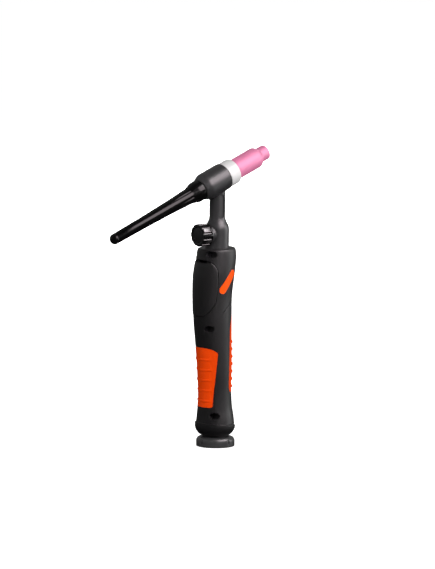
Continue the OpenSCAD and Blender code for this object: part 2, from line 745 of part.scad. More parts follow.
module trigger_blank() color([0.14, 0.14, 0.15]) union() {
    intersection() {
        band(blank_bottom - 2, blank_top + 2, 100, 260, -wall - lip_gap - lip_t / 2, 0, 16, 9);
        across() difference() {
            blank_outline(0);
            blank_slot(0);
        }
    }
    intersection() {
        band(blank_bottom - 2, blank_top + 2, 98, 262, -wall - lip_gap - lip_t, -wall - lip_gap, 15, 9);
        across() blank_outline(blank_lip);
    }
}

// Soft pad on the skin: a band whose outer face carries ribs across its middle
module ribbed_band(z0, z1, middle, half, spread, first, pitch, count) {
    angles = steps(middle - half, middle + half, 16);
    back = steps(middle + half, middle - half, 16);
    side = rib_w / 2;
    rows = concat([[z0 - 2, 0]],
        [for (i = [0:count - 1]) let (z = first + pitch * i)
            each [[z - side - rib_blend, 0], [z - side, 1], [z + side, 1], [z + side + rib_blend, 0]]],
        [[z1 + 2, 0]]);
    loft([for (row = rows) concat(
        [for (a = angles) let (share = max(0, min(1, (spread - abs(a - middle)) / rib_fade)))
            skin_point(row[0], a, pad_proud + row[1] * rib_h * share)],
        [for (a = back) skin_point(row[0], a, pad_gap - pad_depth)])]);
}

module palm_pad() color([0.9, 0.3, 0.05]) intersection() {
    ribbed_band(palm_bottom, palm_top, 180, 80, 46, palm_bottom + palm_first * palm_pitch, palm_pitch,
        palm_ribs);
    across() palm_outline(0);
}

module finger_pad() color([0.9, 0.3, 0.05]) intersection() {
    ribbed_band(finger_bottom, finger_top, 0, 78, 50, finger_bottom + 0.83 * finger_pitch, finger_pitch,
        finger_ribs);
    across() finger_outline(0);
}

module badge() color([1, 0.35, 0.1]) intersection() {
    band(badge_z - badge_l / 2 - 3, badge_z + badge_l / 2 + 3, badge_a0, badge_a1, 0.1 - badge_t, 0.2, 8, 4);
    across() badge_outline(0);
}

// ---------- swivel ----------

module rear_collar() color([0.13, 0.13, 0.14]) difference() {
    union() {
        difference() {
            translate([-collar_lean, 0, 0]) rotate_extrude() polygon(concat(
                [[0, lip_z], [lip_r + 0.7 + collar_lean, lip_z]],
                [for (a = [-50:10:0])
                    [collar_d / 2 - bulb_r + bulb_r * cos(a), seam_z - 1.3 + bulb_r * sin(a)]],
                [[collar_d / 2, seam_z + 4], [0, seam_z + 4]]));
            translate([0, 0, seam_z - 0.1]) rotate([0, atan(seam_slope), 0])
                translate([-40, -40, 0]) cube([80, 80, 20]);
        }
        rod(spigot_r, seam_z - 4, spigot_top);
    }
    rod(collar_bore_r, seat_bottom - 0.1, spigot_top + 1);
    translate([0, 0, ball_z]) sphere(ball_r + run);
    rod(collar_bore_r + 0.7, seat_top + 0.2, seat_top + 0.3 + clip_h);
}

module ball_seat() color("ivory") difference() {
    rod(seat_r, seat_bottom, seat_top);
    translate([0, 0, ball_z]) sphere(ball_r + fit);
}

module seat_clip() color("silver") difference() {
    tube(collar_bore_r + 0.6, ball_r - 0.1, seat_top + 0.25, seat_top + 0.25 + clip_h - 0.1);
    translate([0, -2, seat_top - 1]) cube([40, 4, 5]);
}

module swivel_ball() color([0.12, 0.12, 0.13]) difference() {
    union() {
        intersection() {
            translate([0, 0, ball_z]) sphere(ball_r);
            rod(ball_r + 1, ball_neck_z, ball_top);
        }
        rod(ball_spigot_r, socket_l, ball_neck_z + 1);
    }
    rod(cable_d / 2, 0, ball_top + 1);
}

module cable_sleeve() color([0.13, 0.13, 0.14]) difference() {
    r = sleeve_d / 2;
    top = ball_neck_z - 0.05;
    rotate_extrude() polygon(concat([[0, 0], [r, 0]],
        [for (a = [0:15:90])
            [r - sleeve_round + sleeve_round * cos(a), top - sleeve_round + sleeve_round * sin(a)]],
        [[0, top]]));
    rod(ball_spigot_r + fit, -1, top + 1);
    rod(socket_d / 2, -1, socket_l);
    for (i = [0:sleeve_slots - 1]) rotate([0, 0, sleeve_slot_a + i * 360 / sleeve_slots])
        translate([r - 1, -sleeve_slot_w / 2, top - 2 - sleeve_slot_l])
            cube([3, sleeve_slot_w, sleeve_slot_l]);
}

head_core();
neck_tube();
valve_block();
power_stem();
head_cover();
collet_body();
collet();
electrode();
cup_gasket();
nozzle();
back_cap();
back_cap_o_ring();
valve_spindle();
spindle_o_ring();
gland_nut();
valve_knob();
knob_screw();
knob_cap();
shell_left();
shell_right();
shell_screws();
trigger_blank();
palm_pad();
finger_pad();
badge();
rear_collar();
ball_seat();
seat_clip();
swivel_ball();
cable_sleeve();
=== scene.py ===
"""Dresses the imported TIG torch: moulded covers, ceramic cup, fluted back cap, padded grip and swivel."""
import json
import math

import bpy
from mathutils import Matrix, Vector


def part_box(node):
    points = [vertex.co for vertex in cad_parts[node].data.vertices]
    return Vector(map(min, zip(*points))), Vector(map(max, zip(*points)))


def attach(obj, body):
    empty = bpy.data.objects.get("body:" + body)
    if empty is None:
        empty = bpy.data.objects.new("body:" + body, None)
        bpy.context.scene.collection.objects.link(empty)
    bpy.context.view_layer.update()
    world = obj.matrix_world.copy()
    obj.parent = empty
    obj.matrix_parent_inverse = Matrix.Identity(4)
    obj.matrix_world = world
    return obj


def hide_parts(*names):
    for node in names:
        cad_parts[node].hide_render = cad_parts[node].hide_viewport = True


bl_info = {
    "name": "TIG torch dresser",
    "version": (1, 0, 0),
    "blender": (4, 5, 0),
    "location": "View3D > Sidebar > Torch",
    "description": "Builds the visible pieces and finishes of a TIG welding torch round its CAD frame",
    "category": "Object",
}

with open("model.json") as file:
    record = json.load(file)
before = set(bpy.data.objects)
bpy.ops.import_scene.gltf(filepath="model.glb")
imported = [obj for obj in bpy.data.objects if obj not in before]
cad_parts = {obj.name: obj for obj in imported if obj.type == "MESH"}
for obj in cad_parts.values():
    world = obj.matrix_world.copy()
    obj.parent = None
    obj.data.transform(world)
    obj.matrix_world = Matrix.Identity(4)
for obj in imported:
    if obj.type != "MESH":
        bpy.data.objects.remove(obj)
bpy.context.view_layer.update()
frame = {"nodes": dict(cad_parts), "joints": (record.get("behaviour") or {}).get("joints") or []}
JOINTS = {joint["name"]: joint for joint in frame["joints"]}

MM = 0.001
TURN = 2 * math.pi
ROUND = 96             # faces round a large turned piece
FILLET_STEPS = 6       # straight runs that make one rounded corner
ACROSS = 40 * MM       # reach to each side of a tool that passes right across the grip
BEYOND = 60 * MM       # distance ahead or behind that lies well outside the grip
BLANK_DROP = 9.8 * MM  # from the grip's flat top down to the trigger blank
HEAD = Vector(JOINTS["cup_turn"]["pos_m"])
HEAD_AXIS = Vector(JOINTS["cup_turn"]["axis"])
KNOB = Vector(JOINTS["knob_turn"]["pos_m"])
BALL = Vector(JOINTS["swivel_spin"]["pos_m"])
TO_CUP = Matrix.Translation(HEAD) @ Vector((0, 0, 1)).rotation_difference(HEAD_AXIS).to_matrix().to_4x4()
TO_CAP = TO_CUP @ Matrix.Rotation(math.pi, 4, "Y")
TO_KNOB = Matrix.Translation(KNOB) @ Matrix.Rotation(-math.pi / 2, 4, "Y")
UPRIGHT = Matrix.Identity(4)


# ---------- sizes and colours that a user would change ----------

def length(name, description, millimetres):
    """A length property whose default is given in millimetres."""
    return bpy.props.FloatProperty(name=name, description=description, default=millimetres * MM,
                                   unit="LENGTH", precision=4)


def colour(name, description, value):
    """A colour property in linear RGB."""
    return bpy.props.FloatVectorProperty(name=name, description=description, default=value, size=3,
                                         subtype="COLOR", min=0, max=1)


class TorchHead(bpy.types.PropertyGroup):
    barrel: length("Barrel radius", "Radius of the head cover's barrel", 13.2)
    barrel_front: length("Barrel front", "Front of the barrel, ahead of the neck's axis", 7.9)
    barrel_back: length("Barrel back", "Where the barrel starts to narrow, behind the axis", 15)
    tail_end: length("Tail end", "Back face of the cover, behind the axis", 22.8)
    tail: length("Tail radius", "Radius of the cover's back face", 10.6)
    neck: length("Neck radius", "Radius of the covered neck", 7.7)
    valve: length("Valve radius", "Radius of the covered valve body", 11.5)
    boss: length("Boss radius", "Radius of the boss behind the knob", 8.6)
    flare_bottom: length("Flare bottom", "Height where the valve body starts to narrow", 213)
    flare_top: length("Flare top", "Height where the neck's straight part starts", 219.8)
    voxel: length("Moulding grid", "Grid size that blends the cover's three bodies", 0.42)


class TorchCup(bpy.types.PropertyGroup):
    gasket: length("Gasket radius", "Radius of the white gasket ring", 12.6)
    gasket_end: length("Gasket end", "Front of the gasket, from the neck's axis", 20.6)
    back: length("Cup back", "Back end of the cup inside the gasket", 16)
    body: length("Cup radius", "Radius of the cup's body", 10.15)
    shoulder: length("Shoulder", "Where the cup's body ends", 50.2)
    tip: length("Tip radius", "Radius of the cup's narrow tip", 7.2)
    end: length("Cup end", "Mouth of the cup, from the neck's axis", 63.2)
    mouth: length("Mouth radius", "Bore of the cup's mouth", 4.75)


class TorchCap(bpy.types.PropertyGroup):
    hub: length("Hub radius", "Radius of the cap's hub", 10.2)
    front: length("Hub front", "Front of the hub, behind the neck's axis", 23.1)
    hub_end: length("Hub end", "Where the hub starts to narrow", 29.6)
    root: length("Root radius", "Radius where the long taper starts", 7.8)
    tip: length("Tip radius", "Radius at the domed end", 5.15)
    end: length("Cap end", "End of the dome, behind the neck's axis", 138.6)
    flutes: bpy.props.IntProperty(name="Flutes", description="Number of flutes round the cap", default=8)
    flute: length("Flute radius", "Radius of the round flutes", 1.8)


class TorchKnob(bpy.types.PropertyGroup):
    radius: length("Knob radius", "Radius over the knob's lobes", 10.9)
    back: length("Knob back", "Back of the knob, from the valve's axis", 12.6)
    front: length("Knob front", "Front of the knob, from the valve's axis", 24)
    lobes: bpy.props.IntProperty(name="Lobes", description="Number of lobes round the knob", default=12)


class TorchGrip(bpy.types.PropertyGroup):
    seam: length("Seam height", "Height of the slanted seam at the grip's axis", 22)
    top: length("Top height", "Height of the grip's flat top", 192.2)
    edge: length("Top edge", "Rounding of the grip's top edge", 1.8)
    pocket: length("Pad pockets", "Depth of the pockets for the soft pads", 1.4)
    gap: length("Joint gap", "Gap round the pads and the blank", 0.16)
    rib: length("Rib height", "Height of the pads' ribs", 0.9)
    crease: length("Crease height", "Height of the crease beside the finger pad", 0.8)
    crown: length("Blank crown", "How far the trigger blank stands proud of the shells", 0.45)
    counterbore: length("Counterbore radius", "Radius of the screw holes", 3.3)
    fade: length("Slant run", "Height over which the slants of the seam and the top fade out", 24)
    slope: bpy.props.FloatProperty(name="Seam slope", description="Drop of the seam to the cup side",
                                   default=0.1)
    top_slope: bpy.props.FloatProperty(name="Top slope", description="Drop of the top to the cup side",
                                       default=0.07)


class TorchSwivel(bpy.types.PropertyGroup):
    collar: length("Collar radius", "Radius of the rear collar", 19.5)
    lean: length("Collar offset", "How far the collar's bowl lies towards the cap side", 0.6)
    ball: length("Ball radius", "Radius of the swivel ball", 14)
    cable: length("Cable bore radius", "Bore through the ball", 8.5)
    sleeve: length("Sleeve radius", "Radius of the cable sleeve", 18.6)
    socket: length("Socket radius", "Radius of the socket for the cable's cover", 16.2)
    socket_depth: length("Socket depth", "Depth of that socket", 5.6)


class TorchFinishes(bpy.types.PropertyGroup):
    silicone: colour("Head cover", "Moulded cover of head and neck", (0.0215, 0.0211, 0.022))
    nylon: colour("Grip shells", "Textured grip moulding", (0.0042, 0.004, 0.0043))
    sleeve: colour("Sleeve", "Satin moulding of the cable sleeve", (0.03, 0.0295, 0.0305))
    phenolic: colour("Cap and knob", "Polished black moulding", (0.002, 0.0019, 0.002))
    alumina: colour("Cup", "Fired pink alumina", (0.66, 0.18, 0.335))
    ptfe: colour("Gasket", "White gasket", (0.65, 0.635, 0.635))
    orange: colour("Pads", "Soft orange pads", (0.69, 0.048, 0.0003))
    badge: colour("Badge", "Bare orange badge", (1.0, 0.09, 0.004))


GROUPS = {"torch_head": TorchHead, "torch_cup": TorchCup, "torch_cap": TorchCap, "torch_knob": TorchKnob,
          "torch_grip": TorchGrip, "torch_swivel": TorchSwivel, "torch_finishes": TorchFinishes}


# ---------- modelling helpers ----------

def mode(kind):
    """Switches the active piece between EDIT and OBJECT mode."""
    bpy.ops.object.mode_set(mode=kind)


def pick(obj):
    """Leaves one object selected and active, with nothing in edit mode."""
    if bpy.context.object and bpy.context.object.mode != "OBJECT":
        mode("OBJECT")
    bpy.ops.object.select_all(action="DESELECT")
    if obj:
        obj.select_set(True)
        bpy.context.view_layer.objects.active = obj


def choose(obj, kind, test):
    """Opens a piece in edit mode with only the vertices or edges selected that pass a test."""
    pick(obj)
    mode("EDIT")
    bpy.ops.mesh.select_mode(type=kind)
    bpy.ops.mesh.select_all(action="DESELECT")
    mode("OBJECT")
    for item in obj.data.edges if kind == "EDGE" else obj.data.vertices:
        item.select = test(item)
    mode("EDIT")


def rounded(corners):
    """Polyline through (r, z) corners; a third value rounds the corner with that radius."""
    points = []
    for i, corner in enumerate(corners):
        here = Vector(corner[:2])
        fillet = corner[2] if len(corner) > 2 else 0
        if not fillet or i in (0, len(corners) - 1):
            points.append(here)
            continue
        before = (Vector(corners[i - 1][:2]) - here).normalized()
        after = (Vector(corners[i + 1][:2]) - here).normalized()
        half = before.angle(after) / 2
        reach = fillet / math.tan(half)
        centre = here + (before + after).normalized() * (fillet / math.sin(half))
        start = here + before * reach - centre
        swing = (here + after * reach - centre).angle_signed(start)
        for k in range(FILLET_STEPS + 1):
            spun = start.copy()
            spun.rotate(Matrix.Rotation(swing * k / FILLET_STEPS, 2))
            points.append(centre + spun)
    return points


def polyline(name, points):
    """Wire drawn from point to point in the XZ plane, left in edit mode."""
    pick(None)
    bpy.ops.mesh.primitive_plane_add(size=MM)
    obj = bpy.context.object
    obj.name = name
    mode("EDIT")
    bpy.ops.mesh.select_mode(type="VERT")
    bpy.ops.mesh.select_all(action="SELECT")
    bpy.ops.mesh.merge(type="CENTER")
    here = Vector((points[0][0], 0, points[0][1]))
    bpy.ops.transform.translate(value=here)
    for r, z in points[1:]:
        there = Vector((r, 0, z))
        bpy.ops.mesh.extrude_vertices_move(TRANSFORM_OT_translate={"value": there - here})
        here = there
    return obj


def turned(name, corners, place=UPRIGHT, loop=False, around=ROUND):
    """Piece turned from a profile: (r, z) corners in metres, the third value of one its rounding."""
    points = rounded(corners)
    if loop:
        points.append(points[0])
    obj = polyline(name, points)
    bpy.ops.mesh.select_all(action="SELECT")
    bpy.ops.mesh.spin(steps=around, angle=TURN, center=(0, 0, 0), axis=(0, 0, 1))
    weld()
    return settle(obj, place)


def weld():
    """Joins doubled points of the piece in edit mode and turns its faces outwards."""
    bpy.ops.mesh.select_all(action="SELECT")
    bpy.ops.mesh.remove_doubles(threshold=0.004 * MM)
    bpy.ops.mesh.normals_make_consistent(inside=False)
    mode("OBJECT")


def settle(obj, place):
    """Applies a piece's own size and position, then moves it to its place; its object stays at the origin."""
    pick(obj)
    bpy.ops.object.transform_apply()
    obj.matrix_world = place
    bpy.ops.object.transform_apply()
    return obj


def modify(obj, kind, **settings):
    """Adds one modifier with its settings and applies it."""
    pick(obj)
    modifier = obj.modifiers.new(kind.title(), kind)
    for key, value in settings.items():
        setattr(modifier, key, value)
    bpy.ops.object.modifier_apply(modifier=modifier.name)


def carve(obj, tool, operation="DIFFERENCE"):
    """Cuts, joins or trims a piece with a tool body, which is then thrown away."""
    modify(obj, "BOOLEAN", object=tool, operation=operation, solver="EXACT")
    bpy.data.objects.remove(tool)


def copy_of(obj, name):
    """A copy with a mesh of its own."""
    twin = obj.copy()
    twin.data = obj.data.copy()
    twin.name = name
    bpy.context.scene.collection.objects.link(twin)
    return twin


def joined(objects):
    """Makes one object of several that don't touch."""
    pick(objects[0])
    for obj in objects:
        obj.select_set(True)
    bpy.ops.object.join()
    return bpy.context.object


def rod(radius, start, end, place=UPRIGHT, around=48):
    """Plain round tool along the local Z axis of a place."""
    pick(None)
    bpy.ops.mesh.primitive_cylinder_add(vertices=around, radius=radius, depth=end - start,
                                        location=(0, 0, (start + end) / 2))
    return settle(bpy.context.object, place)


def block(low, high, place=UPRIGHT):
    """Plain box tool between two corners."""
    low, high = Vector(low), Vector(high)
    pick(None)
    bpy.ops.mesh.primitive_cube_add(size=1, location=(low + high) / 2)
    obj = bpy.context.object
    obj.scale = high - low
    return settle(obj, place)


def sheet(name, outline, far=ACROSS):
    """Prism of a side-view outline of (x, z) points, from outside the grip's near side to a Y plane."""
    obj = polyline(name, list(outline) + [outline[0]])
    bpy.ops.mesh.select_all(action="SELECT")
    bpy.ops.mesh.remove_doubles(threshold=0.01 * MM)
    bpy.ops.mesh.edge_face_add()
    bpy.ops.transform.translate(value=(0, -ACROSS, 0))
    bpy.ops.mesh.extrude_region_move(TRANSFORM_OT_translate={"value": (0, far + ACROSS, 0)})
    weld()
    return obj


def coat(obj, material):
    """Leaves a named material as the only one of an object."""
    obj.data.materials.clear()
    obj.data.materials.append(bpy.data.materials[material])


def finish(obj, body, material, node, crisp=35):
    """Shades a piece smooth, except at edges over crisp degrees, gives it its material and body, and hides
    the CAD node it stands in for.
    """
    pick(obj)
    bpy.ops.object.shade_smooth_by_angle(angle=math.radians(crisp))
    coat(obj, material)
    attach(obj, body)
    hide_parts(node)
    pick(None)


# ---------- shared effects, as node groups ----------

def wire(tree, kind, inputs=None, **settings):
    """Adds a shader node; an input given as a socket is linked, any other value is set."""
    node = tree.nodes.new("ShaderNode" + kind)
    for key, value in settings.items():
        setattr(node, key, value)
    for key, value in (inputs or {}).items():
        if isinstance(value, bpy.types.NodeSocket):
            tree.links.new(value, node.inputs[key])
        else:
            node.inputs[key].default_value = value
    return node


def ranged(tree, value, low, high, span=(0.0, 1.0)):
    """Value that goes from low to high while another goes over its span."""
    return wire(tree, "MapRange", {"Value": value, "From Min": span[0], "From Max": span[1],
                                   "To Min": low, "To Max": high}).outputs[0]


def effect(name, outputs, **inputs):
    """Starts a node group that takes a Vector and further inputs; returns its tree and both ends."""
    tree = bpy.data.node_groups.new(name, "ShaderNodeTree")
    for label, value in {"Vector": (0.0, 0.0, 0.0), **inputs}.items():
        kind = "NodeSocketFloat" if isinstance(value, float) else "NodeSocketVector"
        tree.interface.new_socket(name=label, in_out="INPUT", socket_type=kind).default_value = value
    for label in outputs:
        kind = "NodeSocketVector" if label == "Normal" else "NodeSocketFloat"
        tree.interface.new_socket(name=label, in_out="OUTPUT", socket_type=kind)
    return tree, tree.nodes.new("NodeGroupInput").outputs, tree.nodes.new("NodeGroupOutput").inputs


def mould_texture():
    """Spark-eroded mould texture: a fine bump, and edges that read as rounded."""
    tree, given, out = effect("mould_texture", ["Normal"], Scale=1800.0, Depth=0.3, Edge=0.3 * MM)
    fine = wire(tree, "TexNoise", {"Vector": given["Vector"], "Scale": given["Scale"], "Detail": 3.0,
                                   "Roughness": 0.6})
    cells = wire(tree, "TexVoronoi", {"Vector": given["Vector"], "Scale": given["Scale"]},
                 feature="SMOOTH_F1")
    both = wire(tree, "Math", {0: fine.outputs["Fac"], 1: cells.outputs["Distance"]}, operation="MULTIPLY")
    edge = wire(tree, "Bevel", {"Radius": given["Edge"]}, samples=6)
    bump = wire(tree, "Bump", {"Strength": given["Depth"], "Distance": 0.1 * MM,
                               "Height": both.outputs[0], "Normal": edge.outputs["Normal"]})
    tree.links.new(bump.outputs["Normal"], out["Normal"])
    return tree


def handling():
    """Faint smudges and dust of use, between 0 and 1."""
    tree, given, out = effect("handling", ["Mask"], Scale=60.0, Amount=0.5)
    broad = wire(tree, "TexNoise", {"Vector": given["Vector"], "Scale": given["Scale"], "Detail": 6.0,
                                    "Roughness": 0.65, "Distortion": 0.6})
    spread = ranged(tree, broad.outputs["Fac"], 0.0, 1.0, (0.42, 0.72))
    share = wire(tree, "Math", {0: spread, 1: given["Amount"]}, operation="MULTIPLY")
    tree.links.new(share.outputs[0], out["Mask"])
    return tree


def hairlines():
    """Fine lines left by turning or wiping, along one direction of the stretched vector."""
    tree, given, out = effect("hairlines", ["Mask", "Normal"], Scale=300.0, Stretch=(1.0, 1.0, 12.0),
                              Depth=0.1)
    drawn = wire(tree, "VectorMath", {0: given["Vector"], 1: given["Stretch"]}, operation="MULTIPLY")
    lines = wire(tree, "TexNoise", {"Vector": drawn.outputs[0], "Scale": given["Scale"], "Detail": 2.0})
    bump = wire(tree, "Bump", {"Strength": given["Depth"], "Distance": 0.02 * MM,
                               "Height": lines.outputs["Fac"]})
    tree.links.new(lines.outputs["Fac"], out["Mask"])
    tree.links.new(bump.outputs["Normal"], out["Normal"])
    return tree


EFFECTS = {}


def place_effect(tree, maker, **inputs):
    """Places a shared effect in a material, building its group the first time."""
    if maker.__name__ not in EFFECTS:
        EFFECTS[maker.__name__] = maker()
    return wire(tree, "Group", inputs, node_tree=EFFECTS[maker.__name__]).outputs


# ---------- finishes ----------

def start_finish(name, **shader):
    """Starts a material and sets its Principled BSDF; returns its tree, shader and coordinates."""
    material = bpy.data.materials.new(name)
    material.use_nodes = True
    tree = material.node_tree
    bsdf = tree.nodes["Principled BSDF"]
    for key, value in shader.items():
        bsdf.inputs[key.replace("_", " ")].default_value = value
    return tree, bsdf, wire(tree, "TexCoord").outputs["Object"]


def tinted(tree, mask, plain, marked):
    """Colour that goes from plain to marked with a mask; each is a socket or an RGB value."""
    ends = [end if isinstance(end, bpy.types.NodeSocket) else (*end, 1) for end in (plain, marked)]
    return wire(tree, "Mix", {0: mask, 6: ends[0], 7: ends[1]}, data_type="RGBA").outputs[2]


def shade(base, factor):
    """A colour made darker or lighter by a factor."""
    return tuple(min(1.0, channel * factor) for channel in base)


def plug(tree, bsdf, tint, rough, normal):
    """Links a finish's colour, roughness and normal to its shader."""
    for label, socket in (("Base Color", tint), ("Roughness", rough), ("Normal", normal)):
        tree.links.new(socket, bsdf.inputs[label])


def moulded(name, base, rough, scale, depth, lift=1.35, amount=0.5, **shader):
    """Moulded plastic or rubber: texture bump, smudges in its colour and roughness."""
    tree, bsdf, coords = start_finish(name, **shader)
    texture = place_effect(tree, mould_texture, Vector=coords, Scale=scale, Depth=depth)
    smudge = place_effect(tree, handling, Vector=coords, Scale=45.0, Amount=amount)
    plug(tree, bsdf, tinted(tree, smudge["Mask"], base, shade(base, lift)),
         ranged(tree, smudge["Mask"], rough, min(1.0, rough * 1.25)), texture["Normal"])


def alumina(base):
    """Fired alumina: a satin glaze with faint mottling and a few dark specks."""
    tree, bsdf, coords = start_finish("Pink alumina", Coat_Weight=0.1, Coat_Roughness=0.35)
    texture = place_effect(tree, mould_texture, Vector=coords, Scale=900.0, Depth=0.12, Edge=0.0)
    cloud = place_effect(tree, handling, Vector=coords, Scale=120.0, Amount=0.6)
    speck = wire(tree, "TexVoronoi", {"Vector": coords, "Scale": 420.0})
    dots = ranged(tree, speck.outputs["Distance"], 0.35, 0.0, (0.06, 0.1))
    glaze = tinted(tree, cloud["Mask"], base, shade(base, 1.12))
    plug(tree, bsdf, tinted(tree, dots, glaze, shade(base, 0.55)),
         ranged(tree, cloud["Mask"], 0.46, 0.56), texture["Normal"])


def polished(name, base, rough, **shader):
    """Polished black moulding: sharp gloss broken by wiping lines and faint fingerprints."""
    tree, bsdf, coords = start_finish(name, **shader)
    lines = place_effect(tree, hairlines, Vector=coords, Scale=260.0, Depth=0.002)
    prints = place_effect(tree, handling, Vector=coords, Scale=85.0, Amount=0.8)
    plug(tree, bsdf, tinted(tree, prints["Mask"], base, shade(base, 1.8)),
         ranged(tree, prints["Mask"], rough, rough * 1.2), lines["Normal"])


def machined(name, base, rough):
    """Turned metal: fine tool lines and slight tarnish."""
    tree, bsdf, coords = start_finish(name, Metallic=1.0)
    lines = place_effect(tree, hairlines, Vector=coords, Scale=500.0, Depth=0.25,
                         Stretch=(12.0, 1.0, 12.0))
    tarnish = place_effect(tree, handling, Vector=coords, Scale=150.0, Amount=0.7)
    plug(tree, bsdf, tinted(tree, tarnish["Mask"], base, shade(base, 0.6)),
         ranged(tree, lines["Mask"], rough, rough * 1.6), lines["Normal"])


# ---------- head ----------

class TORCH_OT_head_cover(bpy.types.Operator):
    """Moulded cover over head, neck and valve body, blended like one moulding"""
    bl_idname = "torch.head_cover"
    bl_label = "Head cover"

    def execute(self, context):
        p = context.scene.torch_head
        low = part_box("head_cover")[0].z
        blend, boss_end = 13 * MM, 12.3 * MM
        cover = turned("head_cover_skin", [
            (0, -p.tail_end), (p.tail, -p.tail_end, 0.7 * MM),
            (p.barrel, -p.barrel_back - 2 * MM, 6 * MM), (p.barrel, p.barrel_front, 0.9 * MM),
            (0, p.barrel_front)], TO_CUP)
        neck = turned("neck_skin", [
            (0, low), (p.valve, low), (p.valve, p.flare_bottom, blend), (p.neck, p.flare_top, blend),
            (p.neck, HEAD.z), (0, HEAD.z)])
        carve(cover, neck, "UNION")
        carve(cover, rod(p.boss, 0, boss_end, TO_KNOB), "UNION")
        self.hollow(cover, p)
        modify(cover, "REMESH", mode="VOXEL", voxel_size=p.voxel)
        modify(cover, "SMOOTH", factor=0.5, iterations=7)
        for side in (-1, 1):
            carve(cover, self.slot(p, side))
        finish(cover, "grip", "Satin silicone", "head_cover", 50)
        return {"FINISHED"}

    def slot(self, p, side):
        """Round-ended tool for the long shallow slot on one side of the neck."""
        bottom, top, half, depth = 221.1 * MM, 244.2 * MM, 2.75 * MM, 1.5 * MM
        reach = sorted((side * (p.neck - depth), side * (p.neck + 3 * MM)))
        tool = block((-half, reach[0], bottom), (half, reach[1], top))

        def upright(edge):
            a, b = (tool.data.vertices[v].co for v in edge.vertices)
            return abs(a.y - b.y) > MM

        choose(tool, "EDGE", upright)
        bpy.ops.mesh.bevel(offset=half * 0.98, segments=8, affect="EDGES")
        mode("OBJECT")
        return tool

    def hollow(self, cover, p):
        """Cuts the bores that hold the inner metalwork."""
        core_end = p.tail_end - 2.6 * MM
        bores = {  # radius, start, end and place
            "core": (8.75 * MM, -core_end, p.barrel_front + MM, TO_CUP),
            "seal": (7.86 * MM, core_end - MM, p.tail_end + MM, TO_CAP),
            "valve block": (8.45 * MM, 189.75 * MM, 213.85 * MM),
            "stem": (4.55 * MM, 180 * MM, 190.8 * MM),
            "neck tube": (4.25 * MM, 212.8 * MM, HEAD.z),
            "gland": (6.1 * MM, 0, 14 * MM, TO_KNOB)}
        for bore in bores.values():
            carve(cover, rod(*bore))


class TORCH_OT_cup(bpy.types.Operator):
    """White gasket ring and pink ceramic cup"""
    bl_idname = "torch.cup"
    bl_label = "Cup and gasket"

    def execute(self, context):
        p = context.scene.torch_cup
        thread, seat, lip, step = 6.46 * MM, 8 * MM, p.body + 0.06 * MM, p.back - 0.1 * MM
        gasket = turned("gasket_ring", [
            (thread, seat), (p.gasket, seat, 0.3 * MM), (p.gasket, p.gasket_end, 2.3 * MM),
            (lip, p.gasket_end, 0.3 * MM), (lip, step), (thread, step)], TO_CUP, loop=True)
        finish(gasket, "cup_carrier", "White PTFE", "cup_gasket")
        cup = turned("ceramic_cup", [
            (thread, p.back), (p.body, p.back, 0.3 * MM), (p.body, p.shoulder, 5 * MM),
            (p.tip, p.shoulder + 3.6 * MM, 2 * MM), (p.tip, p.end, 1.3 * MM), (p.mouth, p.end, 0.5 * MM),
            (p.mouth, p.shoulder + 2 * MM, 2 * MM), (thread, p.shoulder - 6 * MM)], TO_CUP, loop=True)
        finish(cup, "cup", "Pink alumina", "nozzle")
        return {"FINISHED"}


class TORCH_OT_back_cap(bpy.types.Operator):
    """Long fluted back cap, turned with its dome and hollow for the electrode"""
    bl_idname = "torch.back_cap"
    bl_label = "Back cap"

    def execute(self, context):
        p = context.scene.torch_cap
        bore, thread, mouth, floor = 1.9 * MM, 5.9 * MM, 13.8 * MM, p.end - 8 * MM
        ring, ring_r, sweep = p.end - p.tip - 1.2 * MM, p.tip - 0.25 * MM, 60 * MM
        cap = turned("fluted_cap", [
            (0, floor), (bore, floor), (bore, mouth), (thread, mouth, 0.4 * MM),
            (thread, p.front), (p.hub, p.front, 0.7 * MM), (p.hub, p.hub_end, 5 * MM),
            (p.root, p.hub_end + 7.5 * MM, 8 * MM), (p.root * 0.84, p.hub_end + 33 * MM, sweep),
            (p.tip * 1.11, p.hub_end + 63 * MM, sweep), (p.tip, ring - 0.3 * MM),
            (ring_r, ring), (ring_r, ring + 0.4 * MM), (p.tip, ring + 0.7 * MM),
            (p.tip, p.end, p.tip * 0.98), (0, p.end)], TO_CAP)
        carve(cap, self.flutes(p))
        finish(cap, "cap", "Gloss phenolic", "back_cap", 40)
        return {"FINISHED"}

    def flutes(self, p):
        """Round-ended cutters, one modelled and the rest copied round the cap."""
        run, start, stand_off = 62 * MM, p.hub_end + 8 * MM, 1.05 * MM
        sink = math.atan2(1.35 * MM, run)
        end_round = p.flute * 0.99
        first = turned("flute_tool", [
            (0, -p.flute), (p.flute, -p.flute, end_round), (p.flute, run + p.flute, end_round),
            (0, run + p.flute)], around=24)
        tools = []
        for i in range(p.flutes):
            tool = copy_of(first, f"flute_{i}")
            place = Matrix.Rotation(TURN * i / p.flutes, 4, "Z") @ Matrix.Translation(
                (p.root + stand_off, 0, start)) @ Matrix.Rotation(-sink, 4, "Y")
            tools.append(settle(tool, TO_CAP @ place))
        bpy.data.objects.remove(first)
        return joined(tools)


